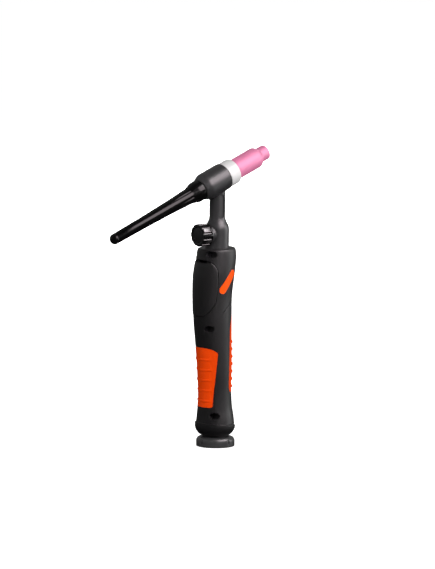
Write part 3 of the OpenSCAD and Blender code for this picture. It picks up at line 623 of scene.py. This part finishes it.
class TORCH_OT_valve_knob(bpy.types.Operator):
    """Lobed valve knob with its recessed front disc"""
    bl_idname = "torch.valve_knob"
    bl_label = "Valve knob"

    def execute(self, context):
        p = context.scene.torch_knob
        recess, floor = p.radius - 3.4 * MM, p.front - 1.6 * MM
        hub, hub_floor = 6.5 * MM, p.back + 2 * MM
        rim, groove, groove_out = 1.1 * MM, 1.45 * MM, 0.35 * MM
        spindle, spindle_end, screw = 1.8 * MM, 19.5 * MM, 1.2 * MM
        knob = turned("lobed_knob", [
            (0, hub_floor), (hub, hub_floor), (hub, p.back), (p.radius, p.back, MM),
            (p.radius, p.front, 0.8 * MM), (recess, p.front, 0.3 * MM), (recess, floor), (0, floor)], TO_KNOB)
        cuts = []
        for i in range(p.lobes):
            around = Matrix.Rotation(TURN * (i + 0.5) / p.lobes, 4, "Z")
            place = TO_KNOB @ around @ Matrix.Translation((p.radius + groove_out, 0, 0))
            cuts.append(rod(groove, p.back + rim, p.front + MM, place, 24))
        carve(knob, joined(cuts))
        carve(knob, rod(spindle, p.back - MM, spindle_end, TO_KNOB))
        carve(knob, rod(screw, spindle_end - 1.5 * MM, p.front, TO_KNOB))
        finish(knob, "knob", "Knob phenolic", "valve_knob", 30)
        disc_r, disc_back = recess - 0.2 * MM, p.front - 0.95 * MM
        disc = turned("knob_disc", [
            (0, disc_back), (disc_r, disc_back), (disc_r, p.front - 0.4 * MM, 0.3 * MM),
            (0, p.front - 0.35 * MM)], TO_KNOB)
        finish(disc, "knob", "Satin black", "knob_cap")
        return {"FINISHED"}


# ---------- grip ----------

# Sections of the grip: share of its height, lean to the cup side, half depth, half width (mm)
SECTIONS = [(0, -0.6, 18.6, 18.6), (0.04, -0.6, 18, 17.8), (0.085, -1.1, 17.2, 16.5),
            (0.176, -1.4, 16.3, 15.7), (0.31, -1.9, 17.4, 15.8), (0.446, -3.1, 18.4, 16),
            (0.584, -4.6, 19.6, 16.6), (0.72, -5.1, 20.3, 17), (0.856, -3.3, 21.2, 18.5),
            (0.947, -0.9, 20.2, 18.2), (1, -0.4, 19, 17.5)]


def level(p, share):
    """Height at a share of the way from the grip's seam to its top."""
    return p.seam + share * (p.top - p.seam)


def section(p, z):
    """Lean, half depth and half width of the grip at a height, on a smooth curve through SECTIONS."""
    share = (z - p.seam) / (p.top - p.seam)
    i = max(k for k in range(len(SECTIONS) - 1) if k == 0 or SECTIONS[k][0] <= share)
    here, there = SECTIONS[i], SECTIONS[i + 1]
    before, after = SECTIONS[max(i - 1, 0)], SECTIONS[min(i + 2, len(SECTIONS) - 1)]
    run = there[0] - here[0]
    u = (share - here[0]) / run
    values = []
    for k in (1, 2, 3):
        leave = (there[k] - before[k]) / (there[0] - before[0])
        arrive = (after[k] - here[k]) / (after[0] - here[0])
        values.append(MM * (here[k] * (1 + 2 * u) * (1 - u) ** 2 + there[k] * u * u * (3 - 2 * u)
                            + run * leave * u * (1 - u) ** 2 - run * arrive * u * u * (1 - u)))
    return values


def skin(p, name, offset, heights=None):
    """Closed body on the grip's sections, drawn in or out by an offset."""
    pick(None)
    bpy.ops.mesh.primitive_circle_add(vertices=ROUND, radius=MM, fill_type="NOTHING")
    body = bpy.context.object
    body.name = name
    mode("EDIT")
    bpy.ops.mesh.select_all(action="SELECT")
    at, size, tilt = Vector((0, 0, 0)), (MM, MM), 0.0
    for i, z in enumerate(heights or grip_heights(p)):
        lean, depth, width = section(p, z)
        step = z - (p.top - p.edge)
        inset = p.edge - math.sqrt(max(p.edge ** 2 - step ** 2, 0)) if step > 0 else 0
        grow = offset - inset
        there = Vector((lean, 0, z))
        if i:
            bpy.ops.mesh.extrude_region_move(TRANSFORM_OT_translate={"value": there - at})
        else:
            bpy.ops.transform.translate(value=there - at)
        wide = (depth + grow, width + grow)
        slant = (math.atan(p.slope) * max(0, 1 - max(0, z - p.seam) / p.fade)
                 + math.atan(p.top_slope) * max(0, 1 - max(0, p.top - z) / p.fade))
        if abs(tilt - slant) > 1e-5:
            bpy.ops.transform.rotate(value=tilt - slant, orient_axis="Y", center_override=there)
        bpy.ops.transform.resize(value=(wide[0] / size[0], wide[1] / size[1], 1), center_override=there)
        if i == 0:
            bpy.ops.mesh.edge_face_add()
        at, size, tilt = there, wide, slant
    weld()
    return body


def grip_heights(p, low=0, high=1, rows=44):
    """Evenly spaced heights along a stretch of the grip, closer over its rounded top edge."""
    heights = [level(p, low + (high - low) * i / rows) for i in range(rows + 1)]
    if high < 1:
        return heights
    below = [z for z in heights if z < p.top - p.edge - MM]
    return below + [p.top - p.edge + p.edge * math.sin(math.radians(a)) for a in range(0, 91, 15)]


def edge_x(p, z, side):
    """X of the grip's cap-side (-1) or cup-side (1) edge at a height."""
    lean, depth = section(p, z)[:2]
    return lean + side * depth


def blank_outline(p, grow=0):
    """Side view of the trigger blank: its straight edge runs out past the cap side."""
    low, high, reach = level(p, 0.616), p.top - BLANK_DROP, 13.2 * MM
    tall = high - low
    edge = edge_x(p, high - tall / 3, -1)
    inner = edge + reach + grow
    return rounded([
        (-BEYOND, high + grow), (inner, high + grow, 12 * MM), (inner, low + 0.5 * tall, 30 * MM),
        (inner - 0.15 * reach, low + 0.22 * tall, 12 * MM), (edge + 0.2 * reach, low - grow, 8 * MM),
        (-BEYOND, low - grow)])


def slot_outline(p):
    """Side view of the slot above the blank."""
    high, low = p.top - BLANK_DROP, p.top - 12.9 * MM
    edge = edge_x(p, high, -1) + 4.4 * MM
    return rounded([(-BEYOND, high), (edge, high), (edge, low), (-BEYOND, low)])


def palm_outline(p, grow=0):
    """Side view of the palm pad, with a top edge that falls towards the front."""
    low, high, reach = level(p, 0.1), level(p, 0.4425), 9.2 * MM
    near = edge_x(p, low, -1) + 0.56 * reach + grow
    front = edge_x(p, high, -1) + 1.3 * reach + grow
    drop = high - low
    return rounded([
        (-BEYOND, high + grow), (front - 1.2 * reach, high + grow, 20 * MM),
        (front - 0.5 * reach, high - 0.03 * drop + grow, 14 * MM),
        (front, high - 0.095 * drop, 2.2 * MM), (near, low - grow, 2.4 * MM), (-BEYOND, low - grow)])


def finger_outline(p, grow=0):
    """Side view of the finger pad, narrow at its top end."""
    low, high, reach = level(p, 0.182), level(p, 0.649), 10.6 * MM
    top_x = edge_x(p, high, 1) - 0.88 * reach - grow
    low_x = edge_x(p, low, 1) - reach - grow
    drop = high - low
    return rounded([
        (BEYOND, low - grow), (low_x + 0.1 * reach, low - grow, 3 * MM),
        (low_x, low + 0.075 * drop, 12 * MM), (top_x, high - 0.2 * drop, 30 * MM),
        (top_x + 0.6 * reach, high + grow, 2.5 * MM), (BEYOND, high + grow)])


def ribbon(points, width):
    """Outline of a strip that follows a curve of (x, z) points."""
    one, other = [], []
    for i, here in enumerate(points):
        along = (points[min(i + 1, len(points) - 1)] - points[max(i - 1, 0)]).normalized()
        across = Vector((-along.y, along.x)) * (width / 2)
        one.append(here + across)
        other.append(here - across)
    return one + other[::-1]


def crease_curves(p):
    """Side view of the raised crease beside the finger pad and of the groove that runs on from it."""
    low, bend, high = level(p, 0.46), level(p, 0.585), level(p, 0.635)
    raised = rounded([(0.6 * MM, low), (-7 * MM, bend, 30 * MM), (-7 * MM, high - 4 * MM)])
    sunk = rounded([(-7 * MM, high), (4.4 * MM, high + 9 * MM, 20 * MM), (14 * MM, high + 20 * MM)])
    return raised, sunk


def badge_outline(grow=0):
    """Side view of the bare badge: a slanted bar with round ends."""
    low, high, half = Vector((-6.2, 153.5)) * MM, Vector((5.5, 168.3)) * MM, 3.9 * MM + grow
    along = (high - low).normalized()
    across = Vector((-along.y, along.x))
    points = []
    for end, sign in ((high, 1), (low, -1)):
        for k in range(13):
            a = math.pi * k / 12
            points.append(end + sign * half * (across * math.cos(a) + along * math.sin(a)))
    return points


def inlay(p, piece, outline, depth, far=ACROSS):
    """Trims a skin to a side-view outline and hollows it from behind, down to a depth in the grip."""
    carve(piece, sheet("inlay_tool", outline, far), "INTERSECT")
    carve(piece, skin(p, "inlay_back", -depth))


class TORCH_OT_grip(bpy.types.Operator):
    """Two moulded half shells with pockets for the pads, the blank and the badge"""
    bl_idname = "torch.grip"
    bl_label = "Grip shells"

    def execute(self, context):
        p = context.scene.torch_grip
        wall, spigot, spigot_top, neck_hole = 2.8 * MM, 16.76 * MM, 7.2 * MM, 11.55 * MM
        shell = skin(p, "grip_shell", 0)
        carve(shell, skin(p, "grip_inside", -wall, grip_heights(p, 0.04, 0.98, 30)))
        carve(shell, rod(spigot, p.seam - 5 * MM, p.seam + spigot_top, around=ROUND))
        carve(shell, rod(neck_hole, p.top - 8 * MM, p.top + MM, around=ROUND))
        self.pocket(p, shell, blank_outline(p, p.gap), 8 * MM)
        self.pocket(p, shell, palm_outline(p, p.gap), p.pocket)
        self.pocket(p, shell, finger_outline(p, p.gap), p.pocket)
        self.pocket(p, shell, badge_outline(p.gap), 0.9 * MM, 0)
        self.creases(p, shell)
        for x, z in self.screws(p):
            self.screw_post(p, shell, Matrix.Translation((x, 0, z)) @ Matrix.Rotation(math.pi / 2, 4, "X"))
        for side, node in ((-BEYOND, "shell_left"), (BEYOND, "shell_right")):
            half = copy_of(shell, f"grip_{node[6:]}")
            kept = block((-BEYOND, min(0, side), 0), (BEYOND, max(0, side), p.top + BEYOND))
            carve(half, kept, "INTERSECT")
            finish(half, "grip", "Textured nylon", node, 38)
        bpy.data.objects.remove(shell)
        return {"FINISHED"}

    def pocket(self, p, shell, outline, depth, far=ACROSS):
        """Cuts an outline into the skin down to a depth below it."""
        tool = sheet("pocket_tool", outline, far)
        carve(tool, skin(p, "pocket_floor", -depth))
        carve(shell, tool)

    def creases(self, p, shell):
        """Raises the crease on both sides and cuts the groove above it."""
        raised, sunk = crease_curves(p)
        bead_width, groove_width = 1.4 * MM, 0.9 * MM
        bead = sheet("crease_bead", ribbon(raised, bead_width))
        carve(bead, skin(p, "crease_top", p.crease), "INTERSECT")
        carve(bead, skin(p, "crease_root", -MM))
        carve(shell, bead, "UNION")
        self.pocket(p, shell, ribbon(sunk, groove_width), p.crease)

    def screws(self, p):
        """Side-view centres of the three screws, in from the grip's cap side."""
        low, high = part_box("shell_screws")
        head = 3.05 * MM
        rows = ((low.z + head, 6.6), (level(p, 0.551), 5.6), (high.z - head, 4.4))
        return [(edge_x(p, z, -1) + inset * MM, z) for z, inset in rows]

    def screw_post(self, p, shell, place):
        """Post for one screw from shell to shell, with its counterbore drawn out towards the cup side."""
        wall, reach, seat, draw = 1.25 * MM, 30 * MM, 5.4 * MM, 1.3 * MM
        post = rod(p.counterbore + wall, -reach, reach, place)
        carve(post, skin(p, "post_trim", -MM), "INTERSECT")
        carve(shell, post, "UNION")
        for aside in (0, draw):
            carve(shell, rod(p.counterbore - 0.15 * aside, seat, ACROSS,
                             Matrix.Translation((aside, 0, 0)) @ place))


class TORCH_OT_trigger_blank(bpy.types.Operator):
    """Moulded blank in the switch opening, a little proud of the shells, with the slot above it"""
    bl_idname = "torch.trigger_blank"
    bl_label = "Trigger blank"

    def execute(self, context):
        p = context.scene.torch_grip
        blank = skin(p, "switch_blank", p.crown)
        inlay(p, blank, blank_outline(p), 4 * MM)
        modify(blank, "REMESH", mode="VOXEL", voxel_size=0.5 * MM)
        modify(blank, "SMOOTH", factor=0.5, iterations=30)
        carve(blank, sheet("slot_tool", slot_outline(p)))
        finish(blank, "grip", "Textured nylon", "trigger_blank", 50)
        return {"FINISHED"}


class TORCH_OT_pads(bpy.types.Operator):
    """Soft orange palm and finger pads with their ribs, and the bare badge"""
    bl_idname = "torch.pads"
    bl_label = "Pads and badge"

    def execute(self, context):
        p = context.scene.torch_grip
        tall = p.top - p.seam
        self.pad(p, "palm_pad", palm_outline(p), side=-1, low=level(p, 0.106),
                 pitch=0.3365 * tall / 5.7, first=0.66, count=5, spread=43, rise=p.rib * 0.6)
        self.pad(p, "finger_pad", finger_outline(p), side=1, low=level(p, 0.182),
                 pitch=0.467 * tall / 11.06, first=0.52, count=7, spread=48, rise=p.rib)
        badge = skin(p, "badge_bar", 0.2 * MM)
        inlay(p, badge, badge_outline(), 0.8 * MM, 0)
        finish(badge, "grip", "Orange badge", "badge", 38)
        return {"FINISHED"}

    def pad(self, p, node, outline, side, low, pitch, first, count, spread, rise):
        """One pad: the skin with raised ribs, trimmed to its outline and hollowed to its pocket.

        The ribs start a share of a pitch above low, and run to spread degrees off the pad's middle.
        """
        heights, tops = [p.seam, low - 3 * MM], []
        for i in range(count):
            centre = low + pitch * (first + i)
            heights += [centre + rung * MM for rung in (-1.1, -0.6, 0.6, 1.5)]
            tops += [len(heights) - 3, len(heights) - 2]
        last = heights[-1]
        heights += [last + (p.top - 4 * MM - last) * k / 6 for k in range(1, 7)]
        pad = skin(p, f"{node}_skin", 0.05 * MM, heights)
        for inset in (0, 4):
            self.raise_ribs(p, pad, heights, tops, side, spread - inset, rise / 2)
        inlay(p, pad, outline, p.pocket - 0.1 * MM)
        finish(pad, "grip", "Orange rubber", node, 30)

    def raise_ribs(self, p, pad, heights, tops, side, spread, rise):
        """Fattens the rib rows within an angle, in degrees, of the pad's middle."""
        def on_rib(vertex):
            row = vertex.index // ROUND
            lean = section(p, heights[row])[0] if row in tops else 0
            angle = math.atan2(vertex.co.y, side * (vertex.co.x - lean))
            return row in tops and abs(math.degrees(angle)) < spread

        choose(pad, "VERT", on_rib)
        bpy.ops.transform.shrink_fatten(value=rise)
        mode("OBJECT")


# ---------- swivel ----------

class TORCH_OT_swivel(bpy.types.Operator):
    """Rear collar, swivel ball and cable sleeve"""
    bl_idname = "torch.swivel"
    bl_label = "Swivel and sleeve"

    def execute(self, context):
        p = context.scene.torch_swivel
        grip = context.scene.torch_grip
        run, wall, room = 0.06 * MM, 1.25 * MM, p.ball + 1.46 * MM
        lip, seat = BALL.z - 3.4 * MM, BALL.z - 1.3 * MM
        top, spigot_top = grip.seam + 6 * MM, grip.seam + 4.4 * MM
        bulb, middle = 11.2 * MM, grip.seam - 1.3 * MM
        inner = [(math.sqrt((p.ball + run) ** 2 - (z - BALL.z) ** 2), z)
                 for z in (seat, BALL.z - 2 * MM, BALL.z - 2.7 * MM, lip)]
        mouth = inner[-1][0]
        outer = [(p.collar - bulb + bulb * math.cos(math.radians(a)),
                  middle + bulb * math.sin(math.radians(a))) for a in range(-50, 1, 5)]
        collar = turned("rear_collar_bowl", [(0, lip), (mouth + 0.7 * MM + p.lean, lip)] + outer
                        + [(p.collar, top), (0, top)], Matrix.Translation((-p.lean, 0, 0)))
        self.slant_top(collar, grip)
        carve(collar, rod(room + wall, grip.seam - 4 * MM, spigot_top, around=ROUND), "UNION")
        carve(collar, turned("ball_room", [(0, lip - MM), (mouth, lip - MM)] + inner[::-1] + [
            (room, seat), (room, top), (0, top)]))
        finish(collar, "grip", "Textured nylon", "rear_collar", 38)
        self.ball(p)
        self.sleeve(p)
        return {"FINISHED"}

    def slant_top(self, collar, grip):
        """Trims the bowl's top to the slanted seam, a hair below it, and rounds its rim."""
        pick(collar)
        mode("EDIT")
        bpy.ops.mesh.select_all(action="SELECT")
        bpy.ops.mesh.bisect(plane_co=(0, 0, grip.seam - 0.1 * MM), plane_no=(grip.slope, 0, 1),
                            use_fill=True, clear_outer=True)
        bpy.ops.mesh.bevel(offset=0.75 * MM, segments=4, affect="EDGES", clamp_overlap=True)
        weld()

    def ball(self, p):
        """Ball with its cable bore, flat top and the spigot that carries the sleeve."""
        spigot, top, low, steps = 11 * MM, BALL.z + 4.4 * MM, BALL.z - 5.7 * MM, 14
        heights = [top + (low - top) * k / steps for k in range(steps + 1)]
        globe = [(math.sqrt(p.ball ** 2 - (z - BALL.z) ** 2), z) for z in heights]
        ball = turned("cable_ball", [(p.cable, p.socket_depth), (p.cable, top, 0.6 * MM)] + globe
                      + [(spigot, low), (spigot, p.socket_depth)], loop=True)
        finish(ball, "swivel", "Satin black", "swivel_ball")

    def sleeve(self, p):
        """Sleeve that holds the cable's cover, with four small slots round its shoulder."""
        spigot, top = 11.05 * MM, BALL.z - 5.75 * MM
        slots, twist, half, depth = 4, math.radians(6), 0.6 * MM, MM
        sleeve = turned("sleeve_cup", [
            (p.socket, 0), (p.sleeve, 0, 0.4 * MM), (p.sleeve, top, 4 * MM), (spigot, top),
            (spigot, p.socket_depth), (p.socket, p.socket_depth)], loop=True)
        for i in range(slots):
            place = Matrix.Rotation(TURN * i / slots + twist, 4, "Z")
            carve(sleeve, block((p.sleeve - depth, -half, top - 6.4 * MM),
                                (p.sleeve + 2 * MM, half, top - 2 * MM), place))
        modify(sleeve, "BEVEL", width=0.25 * MM, segments=2, limit_method="ANGLE", harden_normals=False,
               angle_limit=math.radians(35), use_clamp_overlap=False, miter_outer="MITER_ARC")
        finish(sleeve, "swivel", "Sleeve nylon", "cable_sleeve")


# ---------- inner metalwork and seals ----------

METALWORK = {
    "Turned brass": ("head_core", "valve_block", "power_stem", "gland_nut"),
    "Turned copper": ("neck_tube", "collet_body", "collet"),
    "Ground tungsten": ("electrode",),
    "Plated steel": ("valve_spindle", "knob_screw", "seat_clip"),
    "Blackened steel": ("shell_screws",),
    "Seal rubber": ("back_cap_o_ring", "spindle_o_ring"),
    "White PTFE": ("ball_seat",)}


class TORCH_OT_metalwork(bpy.types.Operator):
    """Machined and sealing pieces that keep their CAD shapes"""
    bl_idname = "torch.metalwork"
    bl_label = "Metal and seals"

    def execute(self, context):
        for material, nodes in METALWORK.items():
            for node in nodes:
                coat(frame["nodes"][node], material)
        return {"FINISHED"}


class TORCH_OT_finishes(bpy.types.Operator):
    """Finishes of all the pieces"""
    bl_idname = "torch.finishes"
    bl_label = "Finishes"

    def execute(self, context):
        c = context.scene.torch_finishes
        # Name, colour, roughness, then scale and depth of the texture
        moulded("Satin silicone", c.silicone, 0.36, 1400.0, 0.12, lift=1.5, Specular_IOR_Level=0.5)
        moulded("Textured nylon", c.nylon, 0.46, 900.0, 0.5, lift=1.4, Specular_IOR_Level=0.5)
        moulded("Satin black", shade(c.nylon, 0.8), 0.32, 1600.0, 0.12, lift=1.5, Coat_Weight=0.15)
        moulded("Sleeve nylon", c.sleeve, 0.32, 1600.0, 0.12, lift=1.4)
        moulded("Orange rubber", c.orange, 0.5, 1500.0, 0.3, lift=1.08, Specular_IOR_Level=0.04)
        moulded("Orange badge", c.badge, 0.35, 900.0, 0.06, lift=1.08, amount=0.3, Specular_IOR_Level=0.08)
        moulded("White PTFE", c.ptfe, 0.42, 1200.0, 0.08, lift=0.93)
        moulded("Seal rubber", (0.012, 0.012, 0.012), 0.6, 2000.0, 0.2)
        alumina(c.alumina)
        polished("Gloss phenolic", c.phenolic, 0.17, Specular_IOR_Level=0.2)
        polished("Knob phenolic", c.phenolic, 0.16, Specular_IOR_Level=0.9)
        machined("Turned brass", (0.72, 0.47, 0.17), 0.25)
        machined("Turned copper", (0.78, 0.36, 0.2), 0.28)
        machined("Ground tungsten", (0.3, 0.3, 0.31), 0.35)
        machined("Plated steel", (0.5, 0.5, 0.51), 0.28)
        machined("Blackened steel", (0.035, 0.035, 0.038), 0.4)
        return {"FINISHED"}


# ---------- stage ----------

class TORCH_OT_stage(bpy.types.Operator):
    """Pale floor and backdrop, soft lights and the camera"""
    bl_idname = "torch.stage"
    bl_label = "Stage"

    def execute(self, context):
        turn = math.radians(39)
        self.floor(turn)
        forward = Vector((math.sin(turn), math.cos(turn), 0))
        right = Vector((math.cos(turn), -math.sin(turn), 0))
        self.camera(forward, right)
        middle = Vector((0, 0, 0.16))

        def off(azimuth, rise, away):
            """Offset from the aim: degrees to the right of the camera, degrees up, and metres away."""
            a, e = math.radians(azimuth), math.radians(rise)
            level = right * math.sin(a) - forward * math.cos(a)
            return (level * math.cos(e) + Vector((0, 0, math.sin(e)))) * away

        key = off(68, 36, 0.9) - HEAD_AXIS * 0.16
        self.light("left", middle, off(-38, 16, 2.4), (1.2, 1.2), 42, "diffuse")
        self.light("right", middle, off(40, 20, 2.4), (1.2, 1.2), 50, "diffuse")
        self.light("rim", middle, off(98, 6, 2.4), (1.2, 1.2), 34, "diffuse")
        self.light("back", middle, off(180, 20, 2.4), (1.6, 1.2), 40, "diffuse")
        self.light("fill", middle, off(34, 4, 1.8), (1.3, 1.3), 2.4, "glossy")
        self.light("key", HEAD, key, (0.8, 0.6), 13.5, "glossy", (1, 0.88, 0.92))
        self.light("side", middle, off(100, 2, 1.3), (0.7, 1.1), 10, "glossy")
        self.light("top", middle, off(90, 52, 2), (0.7, 0.7), 10, "glossy")
        world = bpy.data.worlds.new("studio")
        context.scene.world = world
        world.use_nodes = True
        background = world.node_tree.nodes["Background"]
        background.inputs["Color"].default_value = (1, 1, 1, 1)
        background.inputs["Strength"].default_value = 0.05
        context.scene.view_settings.view_transform = "Standard"
        return {"FINISHED"}

    def floor(self, turn):
        """Pale floor that sweeps up behind the torch into a closed, round-cornered light room."""
        span, height, curve = 24, 9, 4
        pick(None)
        bpy.ops.mesh.primitive_plane_add(size=span)
        floor = bpy.context.object
        floor.name = "studio_sweep"
        mode("EDIT")
        bpy.ops.mesh.extrude_region_move(TRANSFORM_OT_translate={"value": (0, 0, height)})

        def swept(edge):
            ends = [floor.data.vertices[v].co for v in edge.vertices]
            return all(end.y > 0 for end in ends) or all(end.z > 0 for end in ends)

        choose(floor, "EDGE", swept)
        bpy.ops.mesh.bevel(offset=curve, segments=24, affect="EDGES")
        mode("OBJECT")
        bpy.ops.object.shade_smooth()
        settle(floor, Matrix.Rotation(-turn, 4, "Z"))
        self.paper()
        coat(floor, "Pale paper")
        floor.visible_diffuse = False

    def paper(self):
        """White paper that glows softly; only its far side shows in the torch's gloss."""
        tree, bsdf, coords = start_finish("Pale paper", Roughness=0.9, Specular_IOR_Level=0.0)
        cloud = place_effect(tree, handling, Vector=coords, Scale=3.0, Amount=0.3)
        glossy = wire(tree, "LightPath").outputs["Is Glossy Ray"]
        place = wire(tree, "SeparateXYZ", {0: coords})
        behind = ranged(tree, place.outputs["Y"], 0.0, 0.25, (0.5, 4.0))
        clean = tinted(tree, cloud["Mask"], (0.93, 0.93, 0.93), (0.9, 0.9, 0.9))
        pale = tinted(tree, glossy, clean, (0, 0, 0))
        glow = wire(tree, "Mix", {0: glossy, 2: 0.95, 3: behind}, data_type="FLOAT")
        tree.links.new(pale, bsdf.inputs["Base Color"])
        bsdf.inputs["Emission Color"].default_value = (1, 1, 1, 1)
        tree.links.new(glow.outputs[0], bsdf.inputs["Emission Strength"])

    def camera(self, forward, right):
        """Long lens that looks down 8 degrees, on a frame of 435 by 569 pixels of 0.96 mm each."""
        pixel, rows, distance = 0.96 * MM, 569, 7.0
        pitch, roll = math.radians(8), Matrix.Rotation(math.radians(0.5), 4, "Z")
        aim = right * (0.8 * MM) + Vector((0, 0, 156.4 * MM))
        view = forward * math.cos(pitch) - Vector((0, 0, math.sin(pitch)))
        camera = bpy.data.cameras.new("long_lens")
        camera.sensor_fit = "VERTICAL"
        camera.angle = 2 * math.atan(rows * pixel / 2 / distance)
        camera.clip_end = 50
        bpy.context.scene.camera = self.hang("long_lens", camera, aim, view * -distance, roll)

    def light(self, name, aim, offset, size, power, use, tint=(1, 1, 1)):
        """Softbox of a width and height, used for its diffuse light or for its glossy reflection."""
        lamp = bpy.data.lights.new(name, "AREA")
        lamp.shape, lamp.energy = "RECTANGLE", power
        lamp.size, lamp.size_y, lamp.color = *size, tint
        obj = self.hang(name, lamp, aim, offset)
        obj.visible_glossy, obj.visible_diffuse = use == "glossy", use == "diffuse"

    def hang(self, name, data, aim, offset, roll=UPRIGHT):
        """Puts a lamp or camera at an offset from its aim, facing the aim."""
        obj = bpy.data.objects.new(name, data)
        facing = (-offset).to_track_quat("-Z", "Y").to_matrix().to_4x4()
        obj.matrix_world = Matrix.Translation(aim + offset) @ facing @ roll
        bpy.context.scene.collection.objects.link(obj)
        return obj


class TORCH_PT_panel(bpy.types.Panel):
    """Sidebar panel that lists the torch's pieces and their sizes"""
    bl_idname = "TORCH_PT_panel"
    bl_label = "Torch"
    bl_space_type = "VIEW_3D"
    bl_region_type = "UI"
    bl_category = "Torch"

    def draw(self, context):
        for operator in OPERATORS:
            self.layout.operator(operator.bl_idname)
        for group, kind in GROUPS.items():
            box = self.layout.box()
            for key in kind.__annotations__:
                box.prop(getattr(context.scene, group), key)


OPERATORS = (TORCH_OT_stage, TORCH_OT_finishes, TORCH_OT_metalwork, TORCH_OT_head_cover, TORCH_OT_cup,
             TORCH_OT_back_cap, TORCH_OT_valve_knob, TORCH_OT_grip, TORCH_OT_trigger_blank,
             TORCH_OT_pads, TORCH_OT_swivel)
CLASSES = (*GROUPS.values(), *OPERATORS, TORCH_PT_panel)


def register():
    for cls in CLASSES:
        bpy.utils.register_class(cls)
    for group, kind in GROUPS.items():
        setattr(bpy.types.Scene, group, bpy.props.PointerProperty(type=kind))


def unregister():
    for group in GROUPS:
        delattr(bpy.types.Scene, group)
    for cls in reversed(CLASSES):
        bpy.utils.unregister_class(cls)


def main():
    register()
    for operator in OPERATORS:
        getattr(bpy.ops.torch, operator.bl_idname.split(".")[1])()


if __name__ == "__main__":
    main()
